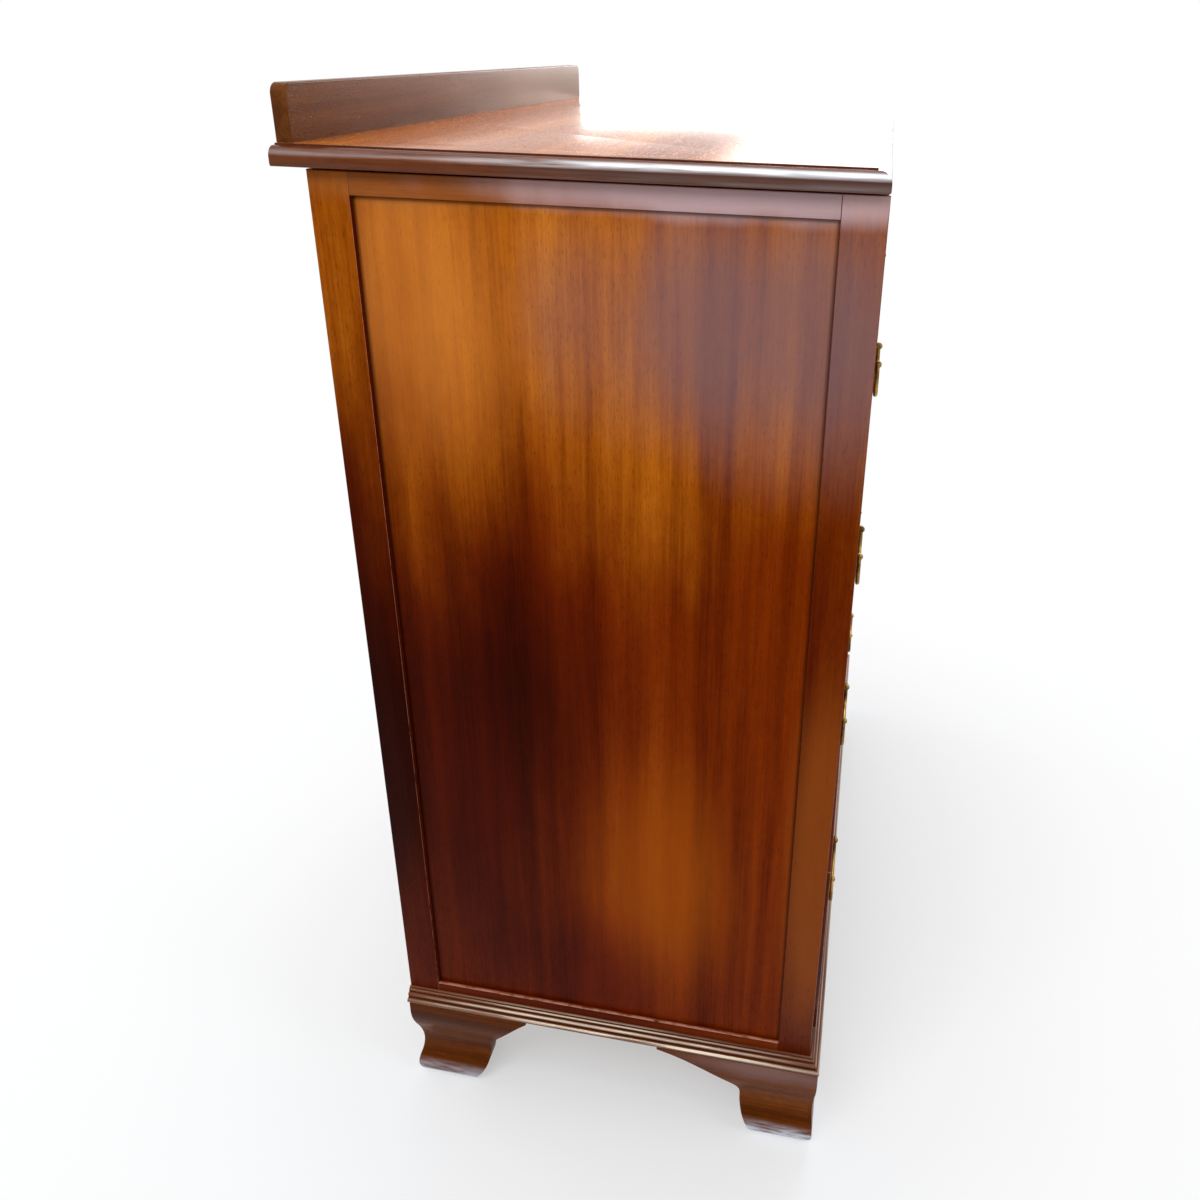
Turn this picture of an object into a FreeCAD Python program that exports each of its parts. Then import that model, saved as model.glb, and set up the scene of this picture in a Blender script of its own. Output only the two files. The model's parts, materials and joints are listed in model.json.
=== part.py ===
import FreeCAD, Part
import Sketcher
import math
import os
import re

# A mahogany chiffonier: a tall chest of drawers with a low back, frame and panel sides and ogee
# bracket feet. Millimetres. +Z is up, the drawers open towards -Y, and the origin is on the floor,
# under the middle of the whole piece.

sizes = {
    # case
    "case_width": 842,
    "case_depth": 486,
    "foot_height": 120,
    "plinth_rail_height": 19,
    "plinth_rail_thickness": 22,
    "divider_thickness": 16,
    "divider_depth": 60,
    "bottom_opening": 237,
    "upper_opening": 188,
    "frieze_opening": 60,
    "top_rail_height": 17,
    "tenon_length": 10,
    "tenon_width": 22,
    "tenon_inset": 7,
    "tenon_shoulder": 4,
    # side frames
    "side_thickness": 22,
    "stile_width": 37,
    "side_top_rail_height": 20,
    "side_bottom_rail_height": 28.5,
    "side_shadow_gap": 2.5,
    "panel_recess": 5,
    "panel_thickness": 8,
    "panel_tongue": 6,
    "corner_round": 1.6,
    "rail_arris_round": 0.8,
    # back
    "back_thickness": 12,
    "back_rebate_wall": 10,
    "back_stile_width": 45,
    "back_rail_height": 60,
    "back_muntin_width": 50,
    "back_panel_thickness": 5,
    # inside
    "runner_width": 38,
    "guide_height": 14,
    "bottom_board_thickness": 12,
    "stop_width": 40,
    "stop_depth": 20,
    "stop_height": 6,
    "stop_from_side": 171,
    "stop_clearance": 0.3,
    # top and low back
    "top_thickness": 18,
    "top_side_overhang": 14,
    "top_back_overhang": 23.5,
    "moulding_width": 11,
    "quirk_depth": 1.5,
    "ovolo_radius": 9,
    "under_round": 2.2,
    "backboard_height": 47,
    "backboard_thickness": 14,
    "backboard_corner": 9,
    "backboard_arris": 1.5,
    # base moulding
    "base_projection": 12,
    "base_moulding_height": 17,
    "lower_reed_radius": 3.2,
    "middle_reed_radius": 2.8,
    "middle_reed_out": 8.4,
    "upper_reed_radius": 1.9,
    "upper_reed_out": 5,
    "base_fillet_out": 2.5,
    # feet
    "bracket_thickness": 14,
    "knee_projection": 11,
    "side_ankle_inset": 8,
    "side_toe_roll": 4,
    "front_ankle_inset": 3,
    "front_toe_roll": 8,
    "toe_inset": 0.5,
    "rear_ankle_inset": 10,
    "rear_toe_inset": 2,
    "rear_foot_inset": 2,
    "toe_height": 9,
    "ankle_height": 54,
    "knee_drop": 16,
    "leg_bottom": 70,
    "front_leg_width": 89,
    "back_leg_width": 97,
    "leg_height": 54,
    "leg_straight": 6,
    "scroll_reach": 8,
    "scroll_rise": 14,
    "wing_radius": 230,
    "wing_tip": 3,
    "front_foot_reach": 188,
    "back_foot_reach": 147,
    "rear_bracket_thickness": 18,
    "rear_bracket_reach": 110,
    "rear_leg_width": 60,
    "glue_block": 30,
    "glue_block_lift": 1,
    # drawers
    "drawer_side_clearance": 1,
    "drawer_top_clearance": 1.2,
    "drawer_run_clearance": 0.3,
    "drawer_back_gap": 34,
    "front_thickness": 20,
    "front_recess": 2,
    "cockbead_width": 4,
    "cockbead_round": 1,
    "drawer_side_thickness": 11,
    "drawer_side_drop": 3,
    "drawer_back_thickness": 10,
    "drawer_back_housing": 4,
    "drawer_back_inset": 6,
    "drawer_back_drop": 8,
    "drawer_bottom_lift": 8,
    "drawer_bottom_thickness": 6,
    "drawer_groove": 5,
    "dovetail_length": 13,
    "dovetail_pitch": 45,
    "dovetail_root": 25,
    "dovetail_splay": 2.2,
    "bottom_drawer_ajar": 4,
    "notch_width": 90,
    "notch_height": 18,
    # handles
    "handle_from_side": 150,
    "post_spacing": 64,
    "pivot_rise": 15,
    "pivot_offset": 5.6,
    "head_radius": 3.6,
    "neck_radius": 2.2,
    "flange_radius": 5,
    "flange_thickness": 0.8,
    "stud_radius": 2,
    "stud_clearance": 0.3,
    "stud_past_nut": 2,
    "nut_radius": 6,
    "nut_thickness": 4,
    "nut_clearance": 0.05,
    "plate_width": 104,
    "plate_height": 48,
    "plate_rise": 2,
    "plate_thickness": 1.6,
    "bail_radius": 2.4,
    "bail_drop": 30,
    "bail_neck_radius": 5,
    "bail_corner_radius": 12,
    "bail_shoulder_gap": 0.5,
    "pin_radius": 1.7,
    "pin_clearance": 0.05,
    "pin_end_gap": 1,
    # screws
    "screw_radius": 2.2,
    "screw_head_radius": 4.4,
    "screw_head_height": 2.6,
    "screw_slot_width": 1,
    "screw_slot_depth": 1.1,
    "screw_clearance": 0.2,
    "top_screw_length": 30,
    "backboard_screw_length": 40,
    "screw_from_side": 52,
    "screw_from_end": 60,
}

doc = FreeCAD.newDocument("Chiffonier")
sheet = doc.addObject("Spreadsheet::Sheet", "Sizes")
for row, (name, value) in enumerate(sizes.items(), start=1):
    sheet.set(f"A{row}", name)
    sheet.set(f"B{row}", str(value))
    sheet.setAlias(f"B{row}", name)
doc.recompute()

pieces = []


# ---- helpers -----------------------------------------------------------------------------------

def formula(text):
    """Point every size named in a formula at its cell in the sheet."""
    return re.sub(r"[a-z]\w*", lambda word: "Sizes." * (word[0] in sizes) + word[0], str(text))


def number(text):
    return float(sheet.evalExpression(formula(text)))


def bind(thing, slot, text):
    thing.setExpression(slot, formula(text))


def put(thing, x=0, y=0, z=0, turn=0):
    """Set a thing down at x, y, z, turned by so many degrees about the upright axis."""
    thing.Placement.Rotation = FreeCAD.Rotation(FreeCAD.Vector(0, 0, 1), turn)
    for axis, text in (("x", x), ("y", y), ("z", z)):
        bind(thing, f"Placement.Base.{axis}", text)
    return thing


def board(label, x, y, z):
    """A square-edged board between two limits on each axis."""
    box = doc.addObject("Part::Box", label)
    for length, axis, (low, high) in (("Length", "x", x), ("Width", "y", y), ("Height", "z", z)):
        bind(box, length, f"{high} - ({low})")
        bind(box, f"Placement.Base.{axis}", low)
    return box


def body_of(label):
    return doc.addObject("PartDesign::Body", label)


def sketch_on(body, plane, away=0):
    """A sketch on one of the body's own origin planes, or that far in front of it."""
    sketch = body.newObject("Sketcher::SketchObject", body.Name + "Sketch")
    origin_plane = [part for part in body.Origin.OriginFeatures if part.Role == plane + "_Plane"][0]
    sketch.AttachmentSupport = [(origin_plane, "")]
    sketch.MapMode = "FlatFace"
    bind(sketch, "AttachmentOffset.Base.z", away)
    return sketch


def hold(sketch, kind, text, *where):
    """Bind one dimension of a sketch to a formula."""
    index = sketch.addConstraint(Sketcher.Constraint(kind, *where, number(text)))
    bind(sketch, f"Constraints[{index}]", text)


def draw(sketch, corners, closed=True):
    """Draw an outline. A corner is (x, y), reached by a line, or (x, y, radius, turn), reached by an
    arc that bends left where turn is 1 and right where it is -1."""
    spots = [FreeCAD.Vector(number(corner[0]), number(corner[1]), 0) for corner in corners]
    first = sketch.GeometryCount
    reached = corners if closed else corners[1:]
    ends = []
    for index in range(0 if closed else 1, len(corners)):
        here, there = spots[index - 1], spots[index]
        if len(corners[index]) == 2:
            sketch.addGeometry(Part.LineSegment(here, there))
            ends.append((1, 2))
            continue
        radius, turn = number(corners[index][2]), corners[index][3]
        chord = there - here
        rise = math.sqrt(max(radius ** 2 - chord.Length ** 2 / 4, 0))
        centre = (here + there) / 2 + FreeCAD.Vector(-chord.y, chord.x, 0).normalize() * rise * turn
        limits = (here, there) if turn > 0 else (there, here)
        angles = [math.atan2(spot.y - centre.y, spot.x - centre.x) for spot in limits]
        circle = Part.Circle(centre, FreeCAD.Vector(0, 0, 1), radius)
        sketch.addGeometry(Part.ArcOfCircle(circle, *angles))
        ends.append((1, 2) if turn > 0 else (2, 1))
    for edge in range(len(ends) if closed else len(ends) - 1):
        following = (edge + 1) % len(ends)
        sketch.addConstraint(Sketcher.Constraint(
            "Coincident", first + edge, ends[edge][1], first + following, ends[following][0]))
    held = [(first + edge, ends[edge][1], corner) for edge, corner in enumerate(reached)]
    if not closed:
        held.insert(0, (first, ends[0][0], corners[0]))
    for edge, end, corner in held:
        hold(sketch, "DistanceX", corner[0], -1, 1, edge, end)
        hold(sketch, "DistanceY", corner[1], -1, 1, edge, end)
    for edge, corner in enumerate(reached):
        if len(corner) == 4:
            hold(sketch, "Radius", corner[2], first + edge)


def draw_circle(sketch, x, y, radius):
    spot = FreeCAD.Vector(number(x), number(y), 0)
    edge = sketch.addGeometry(Part.Circle(spot, FreeCAD.Vector(0, 0, 1), number(radius)))
    hold(sketch, "Radius", radius, edge)
    hold(sketch, "DistanceX", x, -1, 1, edge, 3)
    hold(sketch, "DistanceY", y, -1, 1, edge, 3)


def pad(body, sketch, length, back=False):
    feature = body.newObject("PartDesign::Pad", body.Name + "Pad")
    feature.Profile = sketch
    feature.Reversed = back
    bind(feature, "Length", length)


def pocket(body, sketch, depth=None, back=False):
    """Cut to a depth, or right through both ways where no depth is given."""
    feature = body.newObject("PartDesign::Pocket", body.Name + "Pocket")
    feature.Profile = sketch
    feature.Reversed = back
    if depth is None:
        feature.Type = "ThroughAll"
        feature.Midplane = True
    else:
        bind(feature, "Length", depth)


def turned(label, plane, outline):
    """A piece turned about the upright axis of its sketch. The outline is (radius, along) corners."""
    body = body_of(label)
    sketch = sketch_on(body, plane)
    draw(sketch, outline)
    feature = body.newObject("PartDesign::Revolution", label + "Turning")
    feature.Profile = sketch
    feature.ReferenceAxis = (sketch, ["V_Axis"])
    return body


def dress(body, kind, size, *corners):
    """Round or chamfer the edges that lie in a side of the body's box, such as YMin, or where two of its
    sides meet, such as XMin ZMax."""
    doc.recompute()
    box = body.Shape.BoundBox
    names = []
    for index, edge in enumerate(body.Shape.Edges, start=1):
        for corner in corners:
            limits = [(side, side[0] + end) for side in corner.split() for end in ("Min", "Max")]
            if all(abs(getattr(edge.BoundBox, end) - getattr(box, side)) < 0.01 for side, end in limits):
                names.append(f"Edge{index}")
    base = body.Tip
    feature = body.newObject("PartDesign::" + kind, body.Name + kind)
    feature.Base = (base, names)
    bind(feature, "Radius" if kind == "Fillet" else "Size", size)


def soft_board(label, x, y, z, radius, *corners):
    """A board between two limits on each axis, with some of its long edges rounded."""
    body = body_of(label)
    sketch = sketch_on(body, "XY")
    length, width, height = [f"({high} - ({low}))" for low, high in (x, y, z)]
    draw(sketch, [(0, 0), (length, 0), (length, width), (0, width)])
    pad(body, sketch, height)
    put(body, x[0], y[0], z[0])
    dress(body, "Fillet", radius, *corners)
    return body


def cut(label, piece, *tools):
    for tool in tools:
        remainder = doc.addObject("Part::Cut", label)
        remainder.Base = piece
        remainder.Tool = tool
        piece = remainder
    return piece


def fuse(label, *members):
    piece = doc.addObject("Part::MultiFuse", label)
    piece.Shapes = members
    piece.Refine = True
    return piece


def group(label, *members):
    piece = doc.addObject("Part::Compound", label)
    piece.Links = members
    return piece


def mirrored(label, source):
    """The right-hand twin of a left-hand piece."""
    piece = doc.addObject("Part::Mirroring", label)
    piece.Source = source
    piece.Normal = FreeCAD.Vector(1, 0, 0)
    return piece


def both(label, source):
    """A left-hand piece together with its right-hand twin."""
    return group(label, source, mirrored(label + "_twin", source))


def finish(node, piece):
    """Name a finished piece and keep it for its file."""
    piece.Label = node
    pieces.append(piece)


def finish_pair(node, left_piece):
    """Finish a left-hand piece and its right-hand twin."""
    finish("left_" + node, left_piece)
    finish("right_" + node, mirrored("right_" + node, left_piece))


# ---- places worked out from the sizes ----------------------------------------------------------

case_front = "(base_projection - (base_projection + case_depth + top_back_overhang) / 2)"
case_back = f"({case_front} + case_depth)"
top_back = f"({case_back} + top_back_overhang)"
case_left = "(-case_width / 2)"
inner_left = "(-case_width / 2 + side_thickness)"
inner_right = "(case_width / 2 - side_thickness)"
plinth_top = "(foot_height + plinth_rail_height)"
carcass_top = (f"({plinth_top} + 5 * divider_thickness + bottom_opening + 3 * upper_opening"
               " + frieze_opening + top_rail_height)")
top_rail_bottom = f"({carcass_top} - top_rail_height)"
side_top = f"({carcass_top} - side_shadow_gap)"
top_surface = f"({carcass_top} + top_thickness)"
back_inner = f"({case_back} - back_thickness)"
divider_back = f"({case_front} + divider_depth)"
front_stile_back = f"({case_front} + stile_width)"
back_stile_front = f"({case_back} - stile_width)"
drawer_depth = "(case_depth - back_thickness - drawer_back_gap)"

# Drawer openings from the bottom up: the drawer's name, its floor and the opening's height.
openings = []
floor = f"({plinth_top} + divider_thickness)"
for name, height in (("bottom_drawer", "bottom_opening"), ("third_drawer", "upper_opening"),
                     ("second_drawer", "upper_opening"), ("first_drawer", "upper_opening"),
                     ("frieze_drawer", "frieze_opening")):
    openings.append((name, floor, height))
    floor = f"({floor} + {height} + divider_thickness)"


# ---- screws ------------------------------------------------------------------------------------

def screw_outline(length, spare):
    return [(0, 0), (f"screw_head_radius + {spare}", 0), (f"screw_radius + {spare}", "screw_head_height"),
            (f"screw_radius + {spare}", f"{length} - screw_radius"), (0, f"{length} + {spare}")]


def screws(name, length, spots, z):
    """Slotted countersunk screws driven upwards from z, and the holes that clear them."""
    screw = turned(name, "XZ", screw_outline(length, 0))
    slot = sketch_on(screw, "XY")
    draw(slot, [("-screw_head_radius", "-screw_slot_width / 2"), ("screw_head_radius", "-screw_slot_width / 2"),
                ("screw_head_radius", "screw_slot_width / 2"), ("-screw_head_radius", "screw_slot_width / 2")])
    pocket(screw, slot, "screw_slot_depth", back=True)
    hole = turned(name + "_hole", "XZ", screw_outline(length, "screw_clearance"))
    return [group(name + "_set", *[put(group(name, master), x, y, z) for x, y in spots])
            for master in (screw, hole)]


across = [f"{share} * (case_width / 2 - screw_from_side)" for share in ("-1", "-1 / 3", "1 / 3", "1")]
rail_spots = [(x, f"{case_front} + divider_depth / 2") for x in across]
kicker_ends = (f"{divider_back} + screw_from_end", f"{back_inner} - screw_from_end")
kicker_spots = [(f"{side} * (case_width / 2 - side_thickness - runner_width / 2)", y)
                for side in (-1, 1) for y in (*kicker_ends, f"({kicker_ends[0]} + {kicker_ends[1]}) / 2")]
backboard_spots = [(x, f"{top_back} - backboard_thickness / 2") for x in across]

top_screws, top_holes = screws("top_screw", "top_screw_length", rail_spots + kicker_spots, top_rail_bottom)
low_back_screws, low_back_holes = screws("backboard_screw", "backboard_screw_length", backboard_spots,
                                         carcass_top)
finish("assembly_screws", group("assembly_screws", top_screws, low_back_screws))


# ---- front rails and dividers ------------------------------------------------------------------

def front_rail(name, depth, bottom, top):
    """A rail across the front with a stub tenon at each end. Gives the rail and its left tenon."""
    tenon = board(name + "_tenon", (f"{inner_left} - tenon_length", inner_left),
                  (f"{case_front} + tenon_inset", f"{case_front} + tenon_inset + tenon_width"),
                  (f"{bottom} + tenon_shoulder", f"{top} - tenon_shoulder"))
    blank = board(name + "_blank", (inner_left, inner_right),
                  (case_front, f"{case_front} + {depth}"), (bottom, top))
    return fuse(name, blank, tenon, mirrored(name + "_far_tenon", tenon)), tenon


dividers, tenons = zip(*[front_rail("under_" + name, "divider_depth", f"({floor} - divider_thickness)", floor)
                         for name, floor, height in openings])
top_rail, top_tenon = front_rail("top_rail", "divider_depth", top_rail_bottom, carcass_top)
plinth_rail, plinth_tenon = front_rail("plinth_rail", "plinth_rail_thickness", "foot_height", plinth_top)
finish("drawer_dividers", group("drawer_dividers", *dividers))
finish("top_front_rail", cut("top_front_rail", top_rail, top_holes))
finish("plinth_front_rail", plinth_rail)


# ---- side frames -------------------------------------------------------------------------------

side_x = (case_left, inner_left)
panel_x = (f"{case_left} + panel_recess", f"{case_left} + panel_recess + panel_thickness")
panel_y = (f"{front_stile_back} - panel_tongue", f"{back_stile_front} + panel_tongue")
side_height = ("foot_height", side_top)
bottom_rail_top = "(foot_height + side_bottom_rail_height)"
top_side_rail_bottom = f"({side_top} - side_top_rail_height)"
back_frame_x = (f"{case_left} + back_rebate_wall", f"({case_left} + back_rebate_wall + back_stile_width)")

side_panel = board("side_panel", panel_x, panel_y,
                   (f"{bottom_rail_top} - panel_tongue", f"{top_side_rail_bottom} + panel_tongue"))
finish_pair("side_panel", side_panel)

# The stiles are grooved from end to end for the panel and for the tongues of the rails.
front_stile = soft_board("front_stile", side_x, (case_front, front_stile_back), side_height,
                         "corner_round", "XMin YMin", "XMin ZMax")
front_groove = board("front_groove", panel_x, (panel_y[0], front_stile_back), side_height)
finish_pair("front_stile", cut("grooved_front_stile", front_stile, front_groove, plinth_tenon, top_tenon,
                               *tenons))

back_frame_stile = board("back_frame_stile", back_frame_x, (back_inner, case_back),
                         ("foot_height", carcass_top))
back_stile = soft_board("back_stile", side_x, (back_stile_front, case_back), side_height,
                        "corner_round", "XMin YMax", "XMin ZMax")
back_groove = board("back_groove", panel_x, (back_stile_front, panel_y[1]), side_height)
finish_pair("back_stile", cut("grooved_back_stile", back_stile, back_groove, back_frame_stile))

side_rails = []
for name, limits, radius in (("top", (top_side_rail_bottom, side_top), "corner_round"),
                             ("bottom", ("foot_height", bottom_rail_top), "rail_arris_round")):
    rail = soft_board(name + "_side_rail", side_x, (front_stile_back, back_stile_front), limits, radius,
                      "XMin ZMax")
    tongues = board(name + "_tongues", panel_x, panel_y, limits)
    side_rails.append(cut(name + "_grooved_rail", fuse(name + "_tongued_rail", rail, tongues), side_panel))
finish_pair("side_rails", group("side_rails", *side_rails))


# ---- back --------------------------------------------------------------------------------------

back_y = (back_inner, case_back)
back_panel = board("back_panel", (f"{back_frame_x[1]} - panel_tongue", "-back_muntin_width / 2 + panel_tongue"),
                   (f"{back_inner} + (back_thickness - back_panel_thickness) / 2",
                    f"{case_back} - (back_thickness - back_panel_thickness) / 2"),
                   ("foot_height + back_rail_height - panel_tongue",
                    f"{carcass_top} - back_rail_height + panel_tongue"))
back_panels = both("back_panels", back_panel)
back_rail_x = (back_frame_x[1], f"-{back_frame_x[1]}")
back_members = [
    back_frame_stile,
    mirrored("right_back_frame_stile", back_frame_stile),
    board("back_bottom_rail", back_rail_x, back_y, ("foot_height", "foot_height + back_rail_height")),
    board("back_top_rail", back_rail_x, back_y, (f"{carcass_top} - back_rail_height", carcass_top)),
    board("back_muntin", ("-back_muntin_width / 2", "back_muntin_width / 2"), back_y,
          ("foot_height + back_rail_height", f"{carcass_top} - back_rail_height")),
]
finish("back_frame", group("back_frame", *[cut("grooved_" + member.Label, member, back_panels)
                                           for member in back_members]))
finish("back_panels", back_panels)


# ---- runners, kickers, stops and bottom board --------------------------------------------------

runner_x = (inner_left, f"{inner_left} + runner_width")
stop_y = f"({case_front} + front_thickness + stop_clearance)"
stop_x = f"({inner_left} + stop_from_side - side_thickness)"
runners = []
stops = []
for name, floor, height in openings:
    # The lowest guide stands on the side's bottom rail, the others reach down beside their runner.
    guide_bottom = bottom_rail_top if name == "bottom_drawer" else f"{floor} - divider_thickness"
    runners.append(board(name + "_runner", runner_x, (divider_back, back_inner),
                         (f"{floor} - divider_thickness", floor)))
    runners.append(board(name + "_guide", (panel_x[1], inner_left), (front_stile_back, back_stile_front),
                         (guide_bottom, f"{floor} + guide_height")))
    stops.append(board(name + "_stop", (f"{stop_x} - stop_width / 2", f"{stop_x} + stop_width / 2"),
                       (stop_y, f"{stop_y} + stop_depth"), (floor, f"{floor} + stop_height")))
finish("drawer_runners", both("drawer_runners", group("left_runners", *runners)))
finish("drawer_stops", both("drawer_stops", group("left_stops", *stops)))

kicker = board("kicker", runner_x, (divider_back, back_inner), (top_rail_bottom, carcass_top))
finish("top_kickers", cut("top_kickers", both("kickers", kicker), top_holes))
finish("bottom_board", board("bottom_board", (inner_left, inner_right),
                             (f"{case_front} + plinth_rail_thickness", back_inner),
                             (f"{plinth_top} - bottom_board_thickness", plinth_top)))


# ---- mouldings ---------------------------------------------------------------------------------

def moulding(label, section, width, length, *mitres):
    """A length of moulding along +X, with its face towards -Y and its section given as (out, up)
    corners. A mitred end is longest at the face."""
    body = body_of(label)
    profile = sketch_on(body, "YZ")
    draw(profile, [(f"-({out})", up, *arc) for out, up, *arc in section])
    pad(body, profile, length)
    mitre = sketch_on(body, "XY")
    if "start" in mitres:
        draw(mitre, [(f"-{width}", f"-2 * {width}"), (f"2 * {width}", width), (f"-{width}", width)])
    if "end" in mitres:
        draw(mitre, [(f"{length} + {width}", f"-2 * {width}"), (f"{length} + {width}", width),
                     (f"{length} - 2 * {width}", width)])
    pocket(body, mitre)
    return body


def mitred_run(node, section, width, frame_width, front, back, bottom):
    """Three lengths of moulding round the front and sides of a frame, mitred at the front corners."""
    front_length = f"({frame_width} + 2 * {width})"
    along_front = moulding(node + "_front", section, width, front_length, "start", "end")
    put(along_front, f"-{front_length} / 2", front, bottom)
    along_side = moulding(node + "_side", section, width, f"({back} - ({front}) + {width})", "end")
    put(along_side, f"-{frame_width} / 2", back, bottom, -90)
    finish(node, group(node, along_front, both(node + "_sides", along_side)))


def reed(out, low, radius):
    """A half-round reed, from its lower quirk to its upper one."""
    return [(f"{out} - {radius}", low), (out, f"{low} + {radius}", radius, -1),
            (f"{out} - {radius}", f"{low} + 2 * {radius}", radius, -1)]


middle_reed_low = "(2 * lower_reed_radius)"
upper_reed_low = f"({middle_reed_low} + 2 * middle_reed_radius)"
base_section = [(0, 0), *reed("base_projection", "0", "lower_reed_radius"),
                *reed("middle_reed_out", middle_reed_low, "middle_reed_radius"),
                *reed("upper_reed_out", upper_reed_low, "upper_reed_radius"),
                ("base_fillet_out", f"{upper_reed_low} + 2 * upper_reed_radius"),
                ("base_fillet_out", "base_moulding_height"), (0, "base_moulding_height")]
mitred_run("base_moulding", base_section, "base_projection", "case_width", case_front, case_back,
           "foot_height")


# ---- top and low back --------------------------------------------------------------------------

thumb_top = "(top_thickness - quirk_depth)"
thumb_section = [(0, 0), ("moulding_width - under_round", 0),
                 ("moulding_width", "under_round", "under_round", -1),
                 ("moulding_width", f"{thumb_top} - ovolo_radius"),
                 ("moulding_width - ovolo_radius", thumb_top, "ovolo_radius", -1), (0, thumb_top)]
top_board_width = "(case_width + 2 * (top_side_overhang - moulding_width))"
top_board_front = f"({case_front} + moulding_width)"
mitred_run("top_edge_moulding", thumb_section, "moulding_width", top_board_width, top_board_front, top_back,
           carcass_top)
top_blank = board("top_blank", (f"-{top_board_width} / 2", f"{top_board_width} / 2"),
                  (top_board_front, top_back), (carcass_top, top_surface))
finish("top_board", cut("bored_top", top_blank, top_holes, low_back_holes))

backboard = body_of("low_back")
outline = sketch_on(backboard, "XZ")
draw(outline, [("-case_width / 2", 0), ("case_width / 2", 0),
               ("case_width / 2", "backboard_height - backboard_corner"),
               ("case_width / 2 - backboard_corner", "backboard_height", "backboard_corner", 1),
               ("-case_width / 2 + backboard_corner", "backboard_height"),
               ("-case_width / 2", "backboard_height - backboard_corner", "backboard_corner", 1)])
pad(backboard, outline, "backboard_thickness")
put(backboard, 0, top_back, top_surface)
dress(backboard, "Fillet", "backboard_arris", "YMin ZMax", "YMax ZMax")
finish("backboard", cut("bored_backboard", backboard, low_back_holes))


# ---- feet --------------------------------------------------------------------------------------

def sweep_radius(rise, run):
    """The radius of an arc that sets off upright and has gone sideways by run after that rise."""
    return f"((({rise})^2 + ({run})^2) / (2 * ({run})))"


def ogee(face, inwards, ankle, toe, roll):
    """Down the front of a foot, from its top to the floor: a knee, a hollow ankle and a rolled toe. The
    ankle, toe and roll are how far each lies inwards of the knee's face."""
    bend = 1 if inwards == "+" else -1
    upper_rise = "((foot_height - knee_drop - ankle_height) / 2)"
    lower_rise = "((ankle_height - toe_height) / 2)"
    knee_arc = sweep_radius(upper_rise, f"{ankle} / 2")
    toe_arc = sweep_radius(lower_rise, f"({ankle} - {toe}) / 2")
    steps = [(0, "foot_height"), (0, "foot_height - knee_drop"),
             (f"{ankle} / 2", f"ankle_height + {upper_rise}", knee_arc, bend),
             (ankle, "ankle_height", knee_arc, -bend),
             (f"({ankle} + {toe}) / 2", f"toe_height + {lower_rise}", toe_arc, -bend),
             (toe, "toe_height", toe_arc, bend),
             (f"{toe} + {roll}", 0, sweep_radius("toe_height", roll), bend)]
    return [(f"{face} {inwards} ({inset})", height, *arc) for inset, height, *arc in steps]


def scroll(hand, leg_width, reach):
    """The waste below a bracket: up the inside of the leg, round the scroll and out to the wing's tip."""
    bend = 1 if hand == "+" else -1
    scroll_start = "(leg_height + leg_straight)"
    steps = [("leg_bottom", 0),
             (leg_width, "leg_height", sweep_radius("leg_height", f"{leg_width} - leg_bottom"), bend),
             (leg_width, scroll_start),
             (f"{leg_width} + scroll_reach", f"{scroll_start} + scroll_rise",
              sweep_radius("scroll_rise", "scroll_reach"), -bend),
             (reach, "foot_height - wing_tip", "wing_radius", -bend),
             (f"{reach} + bracket_thickness", "foot_height - wing_tip"),
             (f"{reach} + bracket_thickness", "-bracket_thickness"),
             ("leg_bottom", "-bracket_thickness")]
    return [(f"{hand}({along})", height, *arc) for along, height, *arc in steps]


def ogee_bracket(label, hand, face, end, leg_width, reach, mitred=True):
    """A foot bracket along X with its ogee face towards -Y. It starts at the outer plane of the corner
    it belongs to and runs right where hand is +. Its end follows the shape of the foot round the corner."""
    body = body_of(label)
    section = sketch_on(body, "YZ")
    draw(section, [*ogee("-knee_projection", "+", *face), ("bracket_thickness", 0),
                   ("bracket_thickness", "foot_height")])
    pad(body, section, reach, back=hand == "-")
    waste = sketch_on(body, "XZ")
    outside = f"{'-' if hand == '+' else ''}bracket_thickness"
    draw(waste, [*ogee("0", hand, *end), (outside, 0), (outside, "foot_height")])
    draw(waste, scroll(hand, leg_width, reach))
    pocket(body, waste)
    if mitred:
        mitre = sketch_on(body, "XY")
        draw(mitre, [(f"{hand}({x})", y) for x, y in
                     (("-knee_projection", "-2 * knee_projection"),
                      ("knee_projection + 2 * bracket_thickness", "2 * bracket_thickness"),
                      ("-knee_projection", "2 * bracket_thickness"))])
        pocket(body, mitre)
    return body


side_face = ("side_ankle_inset", "toe_inset", "side_toe_roll")
front_face = ("front_ankle_inset", "toe_inset", "front_toe_roll")
rear_face = ("rear_ankle_inset", "rear_toe_inset", "side_toe_roll")
block_height = ("glue_block_lift", "foot_height")

side_bracket = put(ogee_bracket("front_foot_side", "-", side_face, front_face, "front_leg_width",
                                "front_foot_reach"), case_left, f"{case_front} - knee_projection", 0, -90)
front_bracket = put(ogee_bracket("front_foot_front", "+", front_face, side_face, "front_leg_width",
                                 "front_foot_reach"), f"{case_left} - knee_projection", case_front)
block_x = (f"{case_left} + bracket_thickness", f"{case_left} + bracket_thickness + glue_block")
front_block = board("front_foot_block", block_x,
                    (f"{case_front} + bracket_thickness", f"{case_front} + bracket_thickness + glue_block"),
                    block_height)
finish_pair("front_foot", group("front_foot", side_bracket, front_bracket, front_block))

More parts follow.
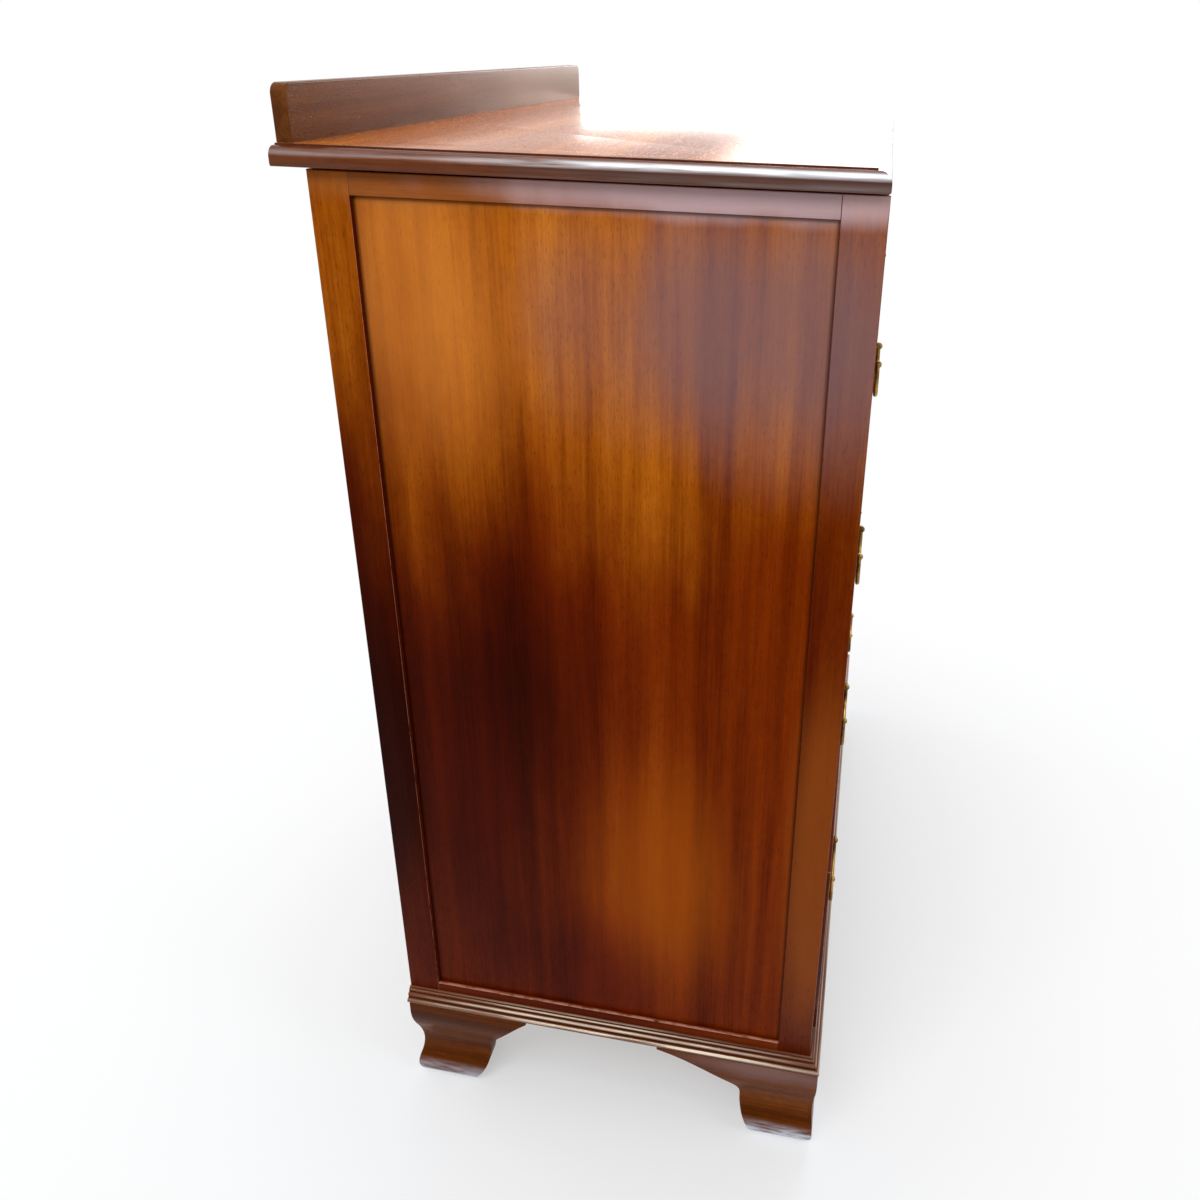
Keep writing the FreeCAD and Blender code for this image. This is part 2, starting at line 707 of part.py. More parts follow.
back_side_bracket = put(ogee_bracket("back_foot_side", "+", side_face, rear_face, "back_leg_width",
                                     "back_foot_reach", mitred=False),
                        case_left, f"{case_back} - rear_foot_inset", 0, -90)
rear_bracket_back = f"({case_back} - rear_foot_inset - rear_ankle_inset - rear_toe_inset)"
rear_bracket_front = f"({rear_bracket_back} - rear_bracket_thickness)"
rear_bracket = body_of("rear_bracket")
rear_outline = sketch_on(rear_bracket, "XZ")
rear_slope = "(rear_bracket_reach - rear_leg_width)"
draw(rear_outline, [(0, 0), ("rear_leg_width", 0), ("rear_leg_width", f"foot_height - {rear_slope}"),
                    ("rear_bracket_reach", "foot_height", rear_slope, -1), (0, "foot_height")])
pad(rear_bracket, rear_outline, "rear_bracket_thickness")
put(rear_bracket, f"{case_left} + bracket_thickness", rear_bracket_back)
back_block = board("back_foot_block", block_x,
                   (f"{rear_bracket_front} - glue_block", rear_bracket_front), block_height)
finish_pair("back_foot", group("back_foot", back_side_bracket, rear_bracket, back_block))


# ---- handles -----------------------------------------------------------------------------------
# A handle is made about the middle of its plate's back, with y = 0 on the face of the drawer front.

def bow(start, end, fullness, turn):
    """An arc from start to end, with its radius given as so many times its chord."""
    chord = f"sqrt(({end[0]} - ({start[0]}))^2 + ({end[1]} - ({start[1]}))^2)"
    return (*end, f"{fullness} * {chord}", turn)


# Right half of the plate's outline from its top middle round to its bottom middle, as shares of the
# plate's width and height, and how each bow bends and how full it is.
plate_bows = [(0.18, 0.42, 0.9, 1), (0.42, 0.33, 0.62, -1), (0.5, 0.1, 0.8, 1), (0.42, -0.18, 0.7, -1),
              (0.17, -0.33, 0.9, 1), (0, -0.5, 0.8, -1)]
right_spots = [(0, 0.34)] + [(x, y) for x, y, fullness, turn in plate_bows]
left_spots = [(-x, y) for x, y in right_spots[-2::-1]]
spots = [(f"{x} * plate_width", f"{y} * plate_height + plate_rise") for x, y in right_spots + left_spots]
bends = [(fullness, turn) for x, y, fullness, turn in plate_bows]
plate = body_of("plate")
plate_outline = sketch_on(plate, "XZ")
draw(plate_outline, [bow(spots[index], spots[index + 1], *bend)
                     for index, bend in enumerate(bends + bends[::-1])])
for side in ("-", ""):
    draw_circle(plate_outline, f"{side}post_spacing / 2", "pivot_rise", "stud_radius + nut_clearance")
pad(plate, plate_outline, "plate_thickness")

# The post is turned about y: a stud through the drawer front, a flange on the plate and a round head.
neck_end = "(-pivot_offset + sqrt(head_radius^2 - neck_radius^2))"
stud_end = "(front_thickness - front_recess + nut_thickness + stud_past_nut)"
post = turned("post", "XY", [
    (0, stud_end), (0, "-pivot_offset - head_radius"), ("head_radius", "-pivot_offset", "head_radius", 1),
    ("neck_radius", neck_end, "head_radius", 1), ("neck_radius", "-plate_thickness - flange_thickness"),
    ("flange_radius", "-plate_thickness - flange_thickness"), ("flange_radius", "-plate_thickness"),
    ("stud_radius", "-plate_thickness"), ("stud_radius", stud_end)])
eye = sketch_on(post, "YZ")
draw_circle(eye, "-pivot_offset", 0, "pin_radius + pin_clearance")
pocket(post, eye)
nut_start = "(front_thickness - front_recess)"
nut = turned("nut", "XY", [("stud_radius + nut_clearance", nut_start), ("nut_radius", nut_start),
                           ("nut_radius", f"{nut_start} + nut_thickness"),
                           ("stud_radius + nut_clearance", f"{nut_start} + nut_thickness")])
fixing = put(group("fixing", post, nut), "-post_spacing / 2", 0, "pivot_rise")
fittings = group("fittings", plate, both("fixings", fixing))

# The bail swings about x through its own origin, and its ends turn in to the heads of the posts.
shoulder = "(post_spacing / 2 + head_radius + bail_shoulder_gap)"
bail = body_of("bail")
bail_line = sketch_on(bail, "XZ")
right_line = [(shoulder, 0), (f"{shoulder} + bail_neck_radius", "-bail_neck_radius", "bail_neck_radius", -1),
              (f"{shoulder} + bail_neck_radius", "-bail_drop + bail_corner_radius"),
              (f"{shoulder} + bail_neck_radius - bail_corner_radius", "-bail_drop", "bail_corner_radius", -1)]
draw(bail_line, [(f"-{shoulder}", 0),
                 (f"-({shoulder} + bail_neck_radius)", "-bail_neck_radius", "bail_neck_radius", 1),
                 (f"-({shoulder} + bail_neck_radius)", "-bail_drop + bail_corner_radius"),
                 (f"-({shoulder} + bail_neck_radius - bail_corner_radius)", "-bail_drop",
                  "bail_corner_radius", 1),
                 (f"{shoulder} + bail_neck_radius - bail_corner_radius", "-bail_drop"),
                 (f"{shoulder} + bail_neck_radius", "-bail_drop + bail_corner_radius",
                  "bail_corner_radius", 1),
                 (f"{shoulder} + bail_neck_radius", "-bail_neck_radius"),
                 (shoulder, 0, "bail_neck_radius", 1)], closed=False)
bail_section = sketch_on(bail, "YZ", f"-{shoulder}")
draw_circle(bail_section, 0, 0, "bail_radius")
sweep = bail.newObject("PartDesign::AdditivePipe", "BailSweep")
sweep.Profile = bail_section
sweep.Spine = (bail_line, [f"Edge{edge}" for edge in range(1, 8)])
for side, start in (("left", f"-{shoulder}"), ("right", shoulder)):
    pin = sketch_on(bail, "YZ", start)
    draw_circle(pin, 0, 0, "pin_radius")
    pad(bail, pin, "bail_shoulder_gap + 2 * head_radius - pin_end_gap", back=side == "right")


# ---- drawers -----------------------------------------------------------------------------------

def tailed_side(name, height):
    """A left drawer side, with dovetails on its front end that are lapped by the drawer front."""
    low, high = "drawer_run_clearance", f"({height} - drawer_side_drop)"
    tip = "(front_thickness - dovetail_length)"
    outline = [(drawer_depth, low), (drawer_depth, high), ("front_thickness", high)]
    tails = max(1, round(number(height) / number("dovetail_pitch")))
    for tail in reversed(range(tails)):
        middle = f"({low} + ({high} - {low}) * {tail + 0.5} / {tails})"
        outline += [("front_thickness", f"{middle} + dovetail_root / 2"),
                    (tip, f"{middle} + dovetail_root / 2 + dovetail_splay"),
                    (tip, f"{middle} - dovetail_root / 2 - dovetail_splay"),
                    ("front_thickness", f"{middle} - dovetail_root / 2")]
    side = body_of(name + "_tailed_side")
    sketch = sketch_on(side, "YZ")
    draw(sketch, outline + [("front_thickness", low)])
    pad(side, sketch, "drawer_side_thickness")
    return side


def drawer_front(name, height, handle_x):
    """A cockbeaded drawer front: a flat field sunk inside a narrow bead. A front with no handles has a
    notch in its top edge for the fingers."""
    front = body_of(name + "_beaded_front")
    outline = sketch_on(front, "XZ")
    half = "(case_width / 2 - side_thickness - drawer_side_clearance)"
    low, high = "drawer_run_clearance", f"({height} - drawer_top_clearance)"
    notch = []
    if not handle_x:
        notch_arc = "((notch_width^2 / 4 + notch_height^2) / (2 * notch_height))"
        notch = [("notch_width / 2", high), ("-notch_width / 2", high, notch_arc, -1)]
    draw(outline, [(f"-{half}", low), (half, low), (half, high), *notch, (f"-{half}", high)])
    pad(front, outline, "front_thickness", back=True)
    field = sketch_on(front, "XZ")
    inner, bottom, top = f"({half} - cockbead_width)", f"{low} + cockbead_width", f"{high} - cockbead_width"
    draw(field, [(f"-{inner}", bottom), (inner, bottom), (inner, top), (f"-{inner}", top)])
    pocket(front, field, "front_recess")
    if handle_x:
        holes = sketch_on(front, "XZ")
        for x in handle_x:
            for post_x in (f"{x} - post_spacing / 2", f"{x} + post_spacing / 2"):
                draw_circle(holes, post_x, f"{height} / 2 + pivot_rise", "stud_radius + stud_clearance")
        pocket(front, holes)
    dress(front, "Fillet", "cockbead_round", "YMin XMin", "YMin XMax", "YMin ZMin", "YMin ZMax")
    return front


def drawer(name, floor, height):
    ajar = "bottom_drawer_ajar" if name == "bottom_drawer" else "0"
    handle_x = [] if name == "frieze_drawer" else ["-case_width / 2 + handle_from_side",
                                                   "case_width / 2 - handle_from_side"]
    face = f"({case_front} - {ajar})"
    side_left = f"({inner_left} + drawer_side_clearance)"
    side_inner = f"({side_left} + drawer_side_thickness)"
    back_end = f"({face} + {drawer_depth} - drawer_back_inset)"
    bottom_z = f"({floor} + drawer_bottom_lift)"

    side = put(tailed_side(name, height), side_left, face, floor)
    back = board(name + "_back", (f"{side_inner} - drawer_back_housing", f"-({side_inner} - drawer_back_housing)"),
                 (f"{back_end} - drawer_back_thickness", back_end),
                 (f"{bottom_z} + drawer_bottom_thickness",
                  f"{floor} + {height} - drawer_side_drop - drawer_back_drop"))
    bottom = board(name + "_bottom", (f"{side_inner} - drawer_groove", f"-({side_inner} - drawer_groove)"),
                   (f"{face} + front_thickness - drawer_groove", back_end),
                   (bottom_z, f"{bottom_z} + drawer_bottom_thickness"))
    front = put(drawer_front(name, height, handle_x), 0, face, floor)
    finish(name + "_front", cut(name + "_socketed_front", front, side, mirrored(name + "_far_side", side),
                                bottom))
    finish(name + "_sides", both(name + "_sides", cut(name + "_side", side, back, bottom)))
    finish(name + "_back", back)
    finish(name + "_bottom", bottom)
    if not handle_x:
        return
    field_y = f"{face} + front_recess"
    handle_z = f"({floor} + {height} / 2)"
    finish(name + "_handle_fittings", group(name + "_handle_fittings", *[
        put(group(name + "_fittings", fittings), x, field_y, handle_z) for x in handle_x]))
    for hand, x in zip(("left", "right"), handle_x):
        finish(f"{name}_{hand}_bail", put(group(f"{name}_{hand}_bail", bail), x, f"{field_y} - pivot_offset",
                                          f"{handle_z} + pivot_rise"))


for name, floor, height in reversed(openings):
    drawer(name, floor, height)


# ---- check and write ---------------------------------------------------------------------------

doc.recompute()
faults = [thing.Label for thing in doc.Objects if {"Invalid", "Error"} & set(thing.State)]
faults += [piece.Label for piece in pieces if piece.Shape.isNull() or not piece.Shape.isValid()]
if faults:
    raise RuntimeError("Not made or not sound: " + ", ".join(faults))
os.makedirs("parts", exist_ok=True)
for piece in pieces:
    piece.Shape.exportStep(f"parts/{piece.Label}.step")
print(len(pieces), "pieces written")
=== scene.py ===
import bmesh
import bpy
import json
import math
import random
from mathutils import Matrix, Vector

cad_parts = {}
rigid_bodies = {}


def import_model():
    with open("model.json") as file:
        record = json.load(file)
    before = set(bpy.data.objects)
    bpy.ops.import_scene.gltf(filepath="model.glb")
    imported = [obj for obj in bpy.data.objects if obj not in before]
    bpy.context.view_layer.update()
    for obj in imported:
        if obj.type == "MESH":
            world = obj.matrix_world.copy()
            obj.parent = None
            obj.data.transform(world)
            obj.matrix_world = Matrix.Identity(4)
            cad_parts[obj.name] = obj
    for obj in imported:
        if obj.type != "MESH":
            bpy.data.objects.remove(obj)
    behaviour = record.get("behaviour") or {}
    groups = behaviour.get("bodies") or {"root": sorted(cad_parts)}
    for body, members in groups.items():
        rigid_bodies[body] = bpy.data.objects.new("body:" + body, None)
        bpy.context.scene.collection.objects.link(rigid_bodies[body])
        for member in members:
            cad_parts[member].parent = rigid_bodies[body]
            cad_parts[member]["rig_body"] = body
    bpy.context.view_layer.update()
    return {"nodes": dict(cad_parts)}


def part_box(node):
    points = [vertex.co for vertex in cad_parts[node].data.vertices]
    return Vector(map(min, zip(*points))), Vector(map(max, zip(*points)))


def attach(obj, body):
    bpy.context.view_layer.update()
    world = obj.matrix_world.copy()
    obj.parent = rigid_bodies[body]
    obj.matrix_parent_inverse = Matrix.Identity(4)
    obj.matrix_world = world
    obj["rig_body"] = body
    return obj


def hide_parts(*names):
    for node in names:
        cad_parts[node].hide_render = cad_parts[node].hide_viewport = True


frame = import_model()
scene = bpy.context.scene
mm = 0.001
print("chiffonier: frame loaded")


camera = {
    "place": (-1.221, -0.241, 1.1996),     # metres
    "turn": (66.773, -1.233, -79.842),     # degrees about x, y and z
    "lens": 29.976, "sensor": 36,          # mm
    "shift": (-0.0833, -0.1076),
    "nearest": 0.05,                       # metres
}

cameraData = bpy.data.cameras.new("studioCamera")
cameraData.lens = camera["lens"]
cameraData.sensor_width = camera["sensor"]
cameraData.shift_x, cameraData.shift_y = camera["shift"]
cameraData.clip_start = camera["nearest"]
studioCamera = bpy.data.objects.new("studioCamera", cameraData)
studioCamera.location = camera["place"]
studioCamera.rotation_euler = [math.radians(angle) for angle in camera["turn"]]
scene.collection.objects.link(studioCamera)
scene.camera = studioCamera


def linear(hexText):
    parts = [int(hexText[spot:spot + 2], 16) / 255 for spot in (1, 3, 5)]
    return (*[part / 12.92 if part <= 0.04045 else ((part + 0.055) / 1.055) ** 2.4 for part in parts], 1)


def addNode(tree, kind, inputs=None, stops=None, **settings):
    node = tree.nodes.new(kind)
    for name, value in settings.items():
        setattr(node, name, value)
    for key, value in (inputs or {}).items():
        if isinstance(value, bpy.types.NodeSocket):
            tree.links.new(value, node.inputs[key])
        else:
            node.inputs[key].default_value = value
    if stops:
        points = node.color_ramp.elements
        while len(points) < len(stops):
            points.new(1)
        for point, (place, tone) in zip(points, stops):
            point.position, point.color = place, linear(tone)
    return node


def newMaterial(name):
    material = bpy.data.materials.new(name)
    material.use_nodes = True
    return material, material.node_tree, material.node_tree.nodes["Principled BSDF"]


# French-polished mahogany, cut and planed: straight ribbon figure, fine open pores and a film of
# shellac, so the colour is deep and warm and the surface has a soft gloss with slight waves in it.
mahoganyGrain = {
    # layer: (mm along the grain, mm across it, detail, noise that gives none of it, noise that gives all)
    "figure": (1500, 95, 2, 0.32, 0.68),
    "ribbon": (700, 24, 3, 0.36, 0.64),
    "mottle": (17, 9, 3, 0.3, 0.7),
    "lines": (85, 2.4, 3, 0.3, 0.7),       # real growth lines are about 1 mm; drawn coarser so that they show
    "pores": (8, 1.1, 1, 0.4, 0.32),       # real pores are 0.2 mm wide; drawn coarser so that they show
    "waves": (230, 130, 1, 0.3, 0.7),
    "rubbing": (14, 7, 3, 0.34, 0.6),
}
polish = {
    "cloudScale": (4, 13, 3.2), "cloudDetail": 4, "ragged": 0.6,     # per metre; clouds fray the patches
    "facing": (0.5, 0.9),     # how far a face turns to the finished side before it counts in part and in full
    # how dark the dirt and painted shadow marks go
    "dirtWearAndPaintedLight": 0.85, "poreRough": 0.25, "poreDepth": 0.12,              # depth in mm
}


def mahogany(name, look):
    material, tree, shader = newMaterial(name)
    board = addNode(tree, "ShaderNodeAttribute", attribute_name="boardSpace").outputs["Vector"]
    noise, spread = {}, {}
    for key, (along, across, detail, none, full) in mahoganyGrain.items():
        if key == "rubbing":
            along *= look["rubbing"]
        placed = addNode(tree, "ShaderNodeMapping", {
            "Vector": board, "Scale": (1000 / along, 1000 / across, 1000 / across)})
        noise[key] = addNode(tree, "ShaderNodeTexNoise", {
            "Vector": placed.outputs[0], "Scale": 1, "Detail": detail, "Roughness": 0.55}).outputs["Fac"]
        spread[key] = addNode(tree, "ShaderNodeMapRange", {
            "Value": noise[key], "From Min": none, "From Max": full}).outputs[0]
    tone = spread["figure"]
    for key in ("ribbon", "lines", "mottle"):
        tone = addNode(tree, "ShaderNodeMix", {0: look[key], 2: tone, 3: spread[key]}).outputs[0]
    boardTone = addNode(tree, "ShaderNodeAttribute", attribute_name="boardTone").outputs["Fac"]
    tone = addNode(tree, "ShaderNodeMath", {0: boardTone, 1: look["boards"], 2: tone},
                   operation="MULTIPLY_ADD").outputs[0]
    wood = addNode(tree, "ShaderNodeValToRGB", {"Fac": tone}, stops=look["tones"]).outputs["Color"]

    # open pores are darker, with old polish and dust in them
    poreShare = addNode(tree, "ShaderNodeMath", {0: spread["pores"], 1: look["pores"]},
                        operation="MULTIPLY").outputs[0]
    wood = addNode(tree, "ShaderNodeMix", {0: poreShare, 6: wood, 7: linear(look["poreTone"])},
                   data_type="RGBA").outputs[2]

    # soft patches on the finished face, partly a polish that has aged unevenly but mostly painted light,
    # shade and reflection; the faces turned away from it take a darker tone
    place = addNode(tree, "ShaderNodeTexCoord").outputs["Object"]
    drawn = addNode(tree, "ShaderNodeMapping", {"Vector": place, "Scale": polish["cloudScale"]})
    cloud = addNode(tree, "ShaderNodeTexNoise", {
        "Vector": drawn.outputs[0], "Scale": 1, "Detail": polish["cloudDetail"]}).outputs["Fac"]
    uneven = addNode(tree, "ShaderNodeMath", {0: cloud, 1: 0.5}, operation="SUBTRACT").outputs[0]
    facing = addNode(tree, "ShaderNodeSeparateXYZ", {
        0: addNode(tree, "ShaderNodeNewGeometry").outputs["True Normal"]}).outputs[look["shown"]]
    starts, whole = polish["facing"]
    nearSide, farSide = [addNode(tree, "ShaderNodeMapRange", {
        "Value": facing, "From Min": side * starts, "From Max": side * whole, "To Max": share}).outputs[0]
        for side, share in ((-1, 1), (1, look["farShare"]))]
    onShown = addNode(tree, "ShaderNodeMath", {0: nearSide, 1: farSide}, operation="ADD").outputs[0]
    offShown = addNode(tree, "ShaderNodeMath", {0: 1, 1: onShown}, operation="SUBTRACT").outputs[0]
    wood = addNode(tree, "ShaderNodeMix", {0: offShown, 6: wood, 7: linear(look["edgeTone"])},
                   data_type="RGBA", blend_type="MULTIPLY").outputs[2]
    for centre, reach, core, patchTone, share, blend in look["patches"]:
        placed = addNode(tree, "ShaderNodeMapping", {
            "Vector": place, "Scale": [1 / size for size in reach],
            "Location": [-middle / size for middle, size in zip(centre, reach)]}).outputs[0]
        far = addNode(tree, "ShaderNodeVectorMath", {0: placed}, operation="LENGTH").outputs["Value"]
        far = addNode(tree, "ShaderNodeMath", {0: uneven, 1: polish["ragged"], 2: far},
                      operation="MULTIPLY_ADD").outputs[0]
        near = addNode(tree, "ShaderNodeMapRange", {
            "Value": far, "From Min": 1, "From Max": core, "To Max": share},
            interpolation_type="SMOOTHSTEP").outputs[0]
        near = addNode(tree, "ShaderNodeMath", {0: near, 1: onShown}, operation="MULTIPLY").outputs[0]
        wood = addNode(tree, "ShaderNodeMix", {0: near, 6: wood, 7: linear(patchTone)},
                       data_type="RGBA", blend_type=blend).outputs[2]

    # rubbed arrises are paler, partly wear and partly a painted highlight on edges that would catch the
    # light, and the quirks and corners are darker, partly dirt and partly a painted shadow along the sunk
    # panel and its ledge
    wearAndPaintedLight = addNode(tree, "ShaderNodeAttribute", attribute_name="wearAndPaintedLight").outputs["Fac"]
    wornAndHighlitShare = addNode(tree, "ShaderNodeMath", {0: wearAndPaintedLight, 1: spread["rubbing"]},
                     operation="MULTIPLY", use_clamp=True).outputs[0]
    wornAndHighlitShare = addNode(tree, "ShaderNodeMath", {0: wornAndHighlitShare, 1: look["wearAndHighlight"]}, operation="MULTIPLY").outputs[0]
    if "wornAndHighlightMiddle" in look:
        middle, reach, core, least = look["wornAndHighlightMiddle"]
        along = addNode(tree, "ShaderNodeSeparateXYZ", {0: place}).outputs["Y"]
        away = addNode(tree, "ShaderNodeMath", {0: along, 1: middle}, operation="SUBTRACT").outputs[0]
        away = addNode(tree, "ShaderNodeMath", {0: away}, operation="ABSOLUTE").outputs[0]
        left = addNode(tree, "ShaderNodeMapRange", {
            "Value": away, "From Min": reach, "From Max": core, "To Min": least},
            interpolation_type="SMOOTHSTEP").outputs[0]
        wornAndHighlitShare = addNode(tree, "ShaderNodeMath", {0: wornAndHighlitShare, 1: left}, operation="MULTIPLY").outputs[0]
    wood = addNode(tree, "ShaderNodeMix", {0: wornAndHighlitShare, 6: wood, 7: linear(look["wornAndHighlightTone"])},
                   data_type="RGBA").outputs[2]
    # dirt in the quirks, and painted shadow along the sunk panel's edges and ledge
    dirtWearAndPaintedLight = addNode(tree, "ShaderNodeMath", {0: wearAndPaintedLight, 1: -polish["dirtWearAndPaintedLight"]},
                   operation="MULTIPLY", use_clamp=True).outputs[0]
    wood = addNode(tree, "ShaderNodeMix", {0: dirtWearAndPaintedLight, 6: wood, 7: linear(look["dirtAndShadeTone"])},
                   data_type="RGBA").outputs[2]
    tree.links.new(wood, shader.inputs["Base Color"])

    smooth, matt = look["rough"]
    gloss = addNode(tree, "ShaderNodeMapRange", {
        "Value": spread["waves"], "To Min": smooth, "To Max": matt}).outputs[0]
    gloss = addNode(tree, "ShaderNodeMath", {0: spread["pores"], 1: polish["poreRough"], 2: gloss},
                    operation="MULTIPLY_ADD").outputs[0]
    tree.links.new(gloss, shader.inputs["Roughness"])
    waved = addNode(tree, "ShaderNodeBump", {
        "Height": noise["waves"], "Strength": 1, "Distance": look["waveDepth"] * mm})
    pored = addNode(tree, "ShaderNodeBump", {
        "Height": spread["pores"], "Strength": 0.5, "Distance": polish["poreDepth"] * mm,
        "Normal": waved.outputs[0]}, invert=True)
    tree.links.new(pored.outputs[0], shader.inputs["Normal"])
    for key, value in (("IOR", "ior"), ("Specular IOR Level", "shine"), ("Coat Weight", "coat"),
                       ("Coat Roughness", "coatRough")):
        shader.inputs[key].default_value = look[value]
    shader.inputs["Specular Tint"].default_value = linear(look["glossTone"])
    return material


# Painted light and shade, partly a polish that has aged unevenly: darker low down and towards the back, paler
# and more orange in places high up, and pale grey-pink painted reflections near the top.
sidePolishAndPaintedLight = (
    # centre and reach in metres, core as a share of the reach, tone, share at the core, blend;
    # a reach of 9 runs right across the piece
    # darker low down: painted shade
    ((0, 0, 0.25), (9, 9, 0.77), 0.58, "#A0600E", 0.92, "MULTIPLY"),
    ((0, 0.16, 0.48), (9, 0.25, 0.40), 0.25, "#94603C", 0.95, "MULTIPLY"),
    ((0, 0.12, 0.16), (9, 0.36, 0.22), 0.2, "#C8A478", 0.7, "MULTIPLY"),
    # pale grey-pink painted reflection of a window, high up at the front
    ((0, -0.17, 0.98), (9, 0.27, 0.17), 0.2, "#7C6266", 0.72, "MIX"),
    ((0, -0.24, 0.42), (9, 0.045, 0.3), 0.4, "#9A4E16", 0.6, "MIX"),
    ((0, 0.235, 0.55), (9, 0.05, 0.42), 0.4, "#A46C48", 0.85, "MULTIPLY"),
    ((0, -0.08, 0.36), (9, 0.12, 0.22), 0.2, "#B85C08", 0.38, "MIX"),
    ((0, 0.02, 0.2), (9, 0.14, 0.14), 0.2, "#B8703C", 0.6, "MULTIPLY"),
    ((0, 0.13, 1.09), (9, 0.2, 0.03), 0.3, "#C4804A", 0.3, "MIX"),
    # pale grey-pink painted reflection along the front of the top rail
    ((0, -0.13, 1.09), (9, 0.27, 0.03), 0.4, "#E4C8CC", 0.6, "MIX"),
)
panelPolishAndPaintedLight = (
    # paler and more orange high up at the back: painted light
    ((0, 0.15, 0.97), (9, 0.13, 0.2), 0.2, "#D8843A", 0.5, "MIX"),
    ((0, 0.04, 0.64), (9, 0.17, 0.24), 0.2, "#A85C3C", 0.6, "MULTIPLY"),
)
# The thumb moulding is greyer and darker towards the front: a painted dark reflection.
thumbDarkReflection = (((0, -0.17, 1.105), (9, 0.27, 0.2), 0.5, "#4A3A38", 0.6, "MIX"),)
# The low back is paler towards the right, and the front feet have a pale grey-pink painted reflection under
# the base moulding.
lowBackPatches = (((0.34, 0, 1.14), (0.5, 9, 9), 0.2, "#C0AC9E", 0.55, "MIX"),)
footPaintedSheen = (((0, -0.2, 0.112), (9, 0.14, 0.024), 0.1, "#A0807C", 0.45, "MIX"),)
caseLook = {
    "tones": ((0, "#581E02"), (0.35, "#803804"), (0.6, "#9A4E0A"), (1, "#B86E20")),
    "ribbon": 0.42, "lines": 0.2, "mottle": 0.1, "boards": 0.13,
    "pores": 0.34, "poreTone": "#3A1204", "rubbing": 1,
    # pale tone of worn arrises, also a painted highlight on the frame's edges and ledge; dark tone of dirt
    # and painted shadow
    "wearAndHighlight": 0.75, "wornAndHighlightTone": "#D89A80", "dirtAndShadeTone": "#1C0903",
    # little shine, because more of it turns white at a slant and veils the dark tones; waves in mm
    "ior": 1.3, "shine": 0.13, "glossTone": "#F08A34", "coat": 0, "coatRough": 0.08,
    "rough": (0.22, 0.32), "waveDepth": 1.0,
    # the axis that the finished face looks along, what the face on the other side has of the patches of
    # painted light and shade, and what darkens the faces round it
    "patches": sidePolishAndPaintedLight, "shown": "X", "farShare": 0.5, "edgeTone": "#A87058",
}
finishes = {
    "polishedMahogany": mahogany("polishedMahogany", caseLook),
    "panelMahogany": mahogany("panelMahogany", {
        **caseLook, "tones": ((0, "#7C3406"), (0.35, "#AC5A0C"), (0.62, "#C67018"), (1, "#E0983E")),
        "ribbon": 0.5, "waveDepth": 1.6, "patches": panelPolishAndPaintedLight + sidePolishAndPaintedLight}),
    "topMahogany": mahogany("topMahogany", {
        **caseLook, "tones": ((0, "#84420E"), (0.4, "#B0601E"), (0.65, "#C4782A"), (1, "#DA984A")),
        "patches": (), "shown": "Z", "farShare": 1, "edgeTone": "#7C4C30", "waveDepth": 0.1,
        "rough": (0.22, 0.27), "ior": 1.42, "shine": 0.3, "coat": 0.25, "coatRough": 0.2, "pores": 0.15}),
    "lowBackMahogany": mahogany("lowBackMahogany", {
        **caseLook, "tones": ((0, "#3A1C08"), (0.4, "#583014"), (0.65, "#6C401E"), (1, "#86562E")),
        "patches": lowBackPatches, "shown": "Y", "edgeTone": "#FFFFFF", "wornAndHighlightTone": "#E0B080",
        "rough": (0.24, 0.34), "ior": 1.42, "shine": 0.2}),
    # a pale cool painted highlight along the ovolo, brightest near the middle of its run
    "thumbMahogany": mahogany("thumbMahogany", {
        **caseLook, "tones": ((0, "#2E1004"), (0.4, "#4A1E08"), (0.65, "#5E2C10"), (1, "#7A4420")),
        "patches": thumbDarkReflection, "edgeTone": "#FFFFFF", "wornAndHighlightTone": "#F2F8FF", "wearAndHighlight": 1,
        "wornAndHighlightMiddle": (-0.13, 0.27, 0.08, 0.15), "rubbing": 10, "rough": (0.12, 0.18),
        "shine": 0.4, "coat": 0.15, "glossTone": "#FFA860"}),
    # pale painted highlights on the reeds, partly wear, brightest near the middle of the run
    "reedMahogany": mahogany("reedMahogany", {
        **caseLook, "tones": ((0, "#4C1E0A"), (0.4, "#6A3416"), (0.65, "#7E4624"), (1, "#986038")),
        "patches": (), "edgeTone": "#FFFFFF", "wornAndHighlightTone": "#FFF0D8", "wearAndHighlight": 1,
        "wornAndHighlightMiddle": (-0.03, 0.28, 0.08, 0.15), "dirtAndShadeTone": "#42200C", "rubbing": 12, "rough": (0.14, 0.2),
        "ior": 1.42, "shine": 0.3, "coat": 0.4, "coatRough": 0.12, "glossTone": "#FFB070"}),
    # scuffs and a pale cool painted highlight on the toes
    "footMahogany": mahogany("footMahogany", {
        **caseLook, "tones": ((0, "#361404"), (0.4, "#582806"), (0.65, "#70380C"), (1, "#8A501A")),
        "patches": footPaintedSheen, "edgeTone": "#FFFFFF",
        "wornAndHighlightTone": "#D8DCE8", "wearAndHighlight": 0.95, "rubbing": 3}),
    "frontMahogany": mahogany("frontMahogany", {
        **caseLook, "tones": ((0, "#481804"), (0.35, "#702C06"), (0.6, "#8A400A"), (1, "#B0641E")),
        "ribbon": 0.55, "patches": (), "shown": "Y", "ior": 1.42, "shine": 0.3, "coat": 0.08}),
}
print("chiffonier: mahogany mixed")


# Planed softwood and drawer linings: bare, with no polish, so they look dry and matt.
bareGrain = {
    "stains": (3, 7, 7), "stainShare": 0.4,     # stains per metre along and across the grain
    "raised": 0.3, "shine": 0.25,               # mm that the rings stand up
}


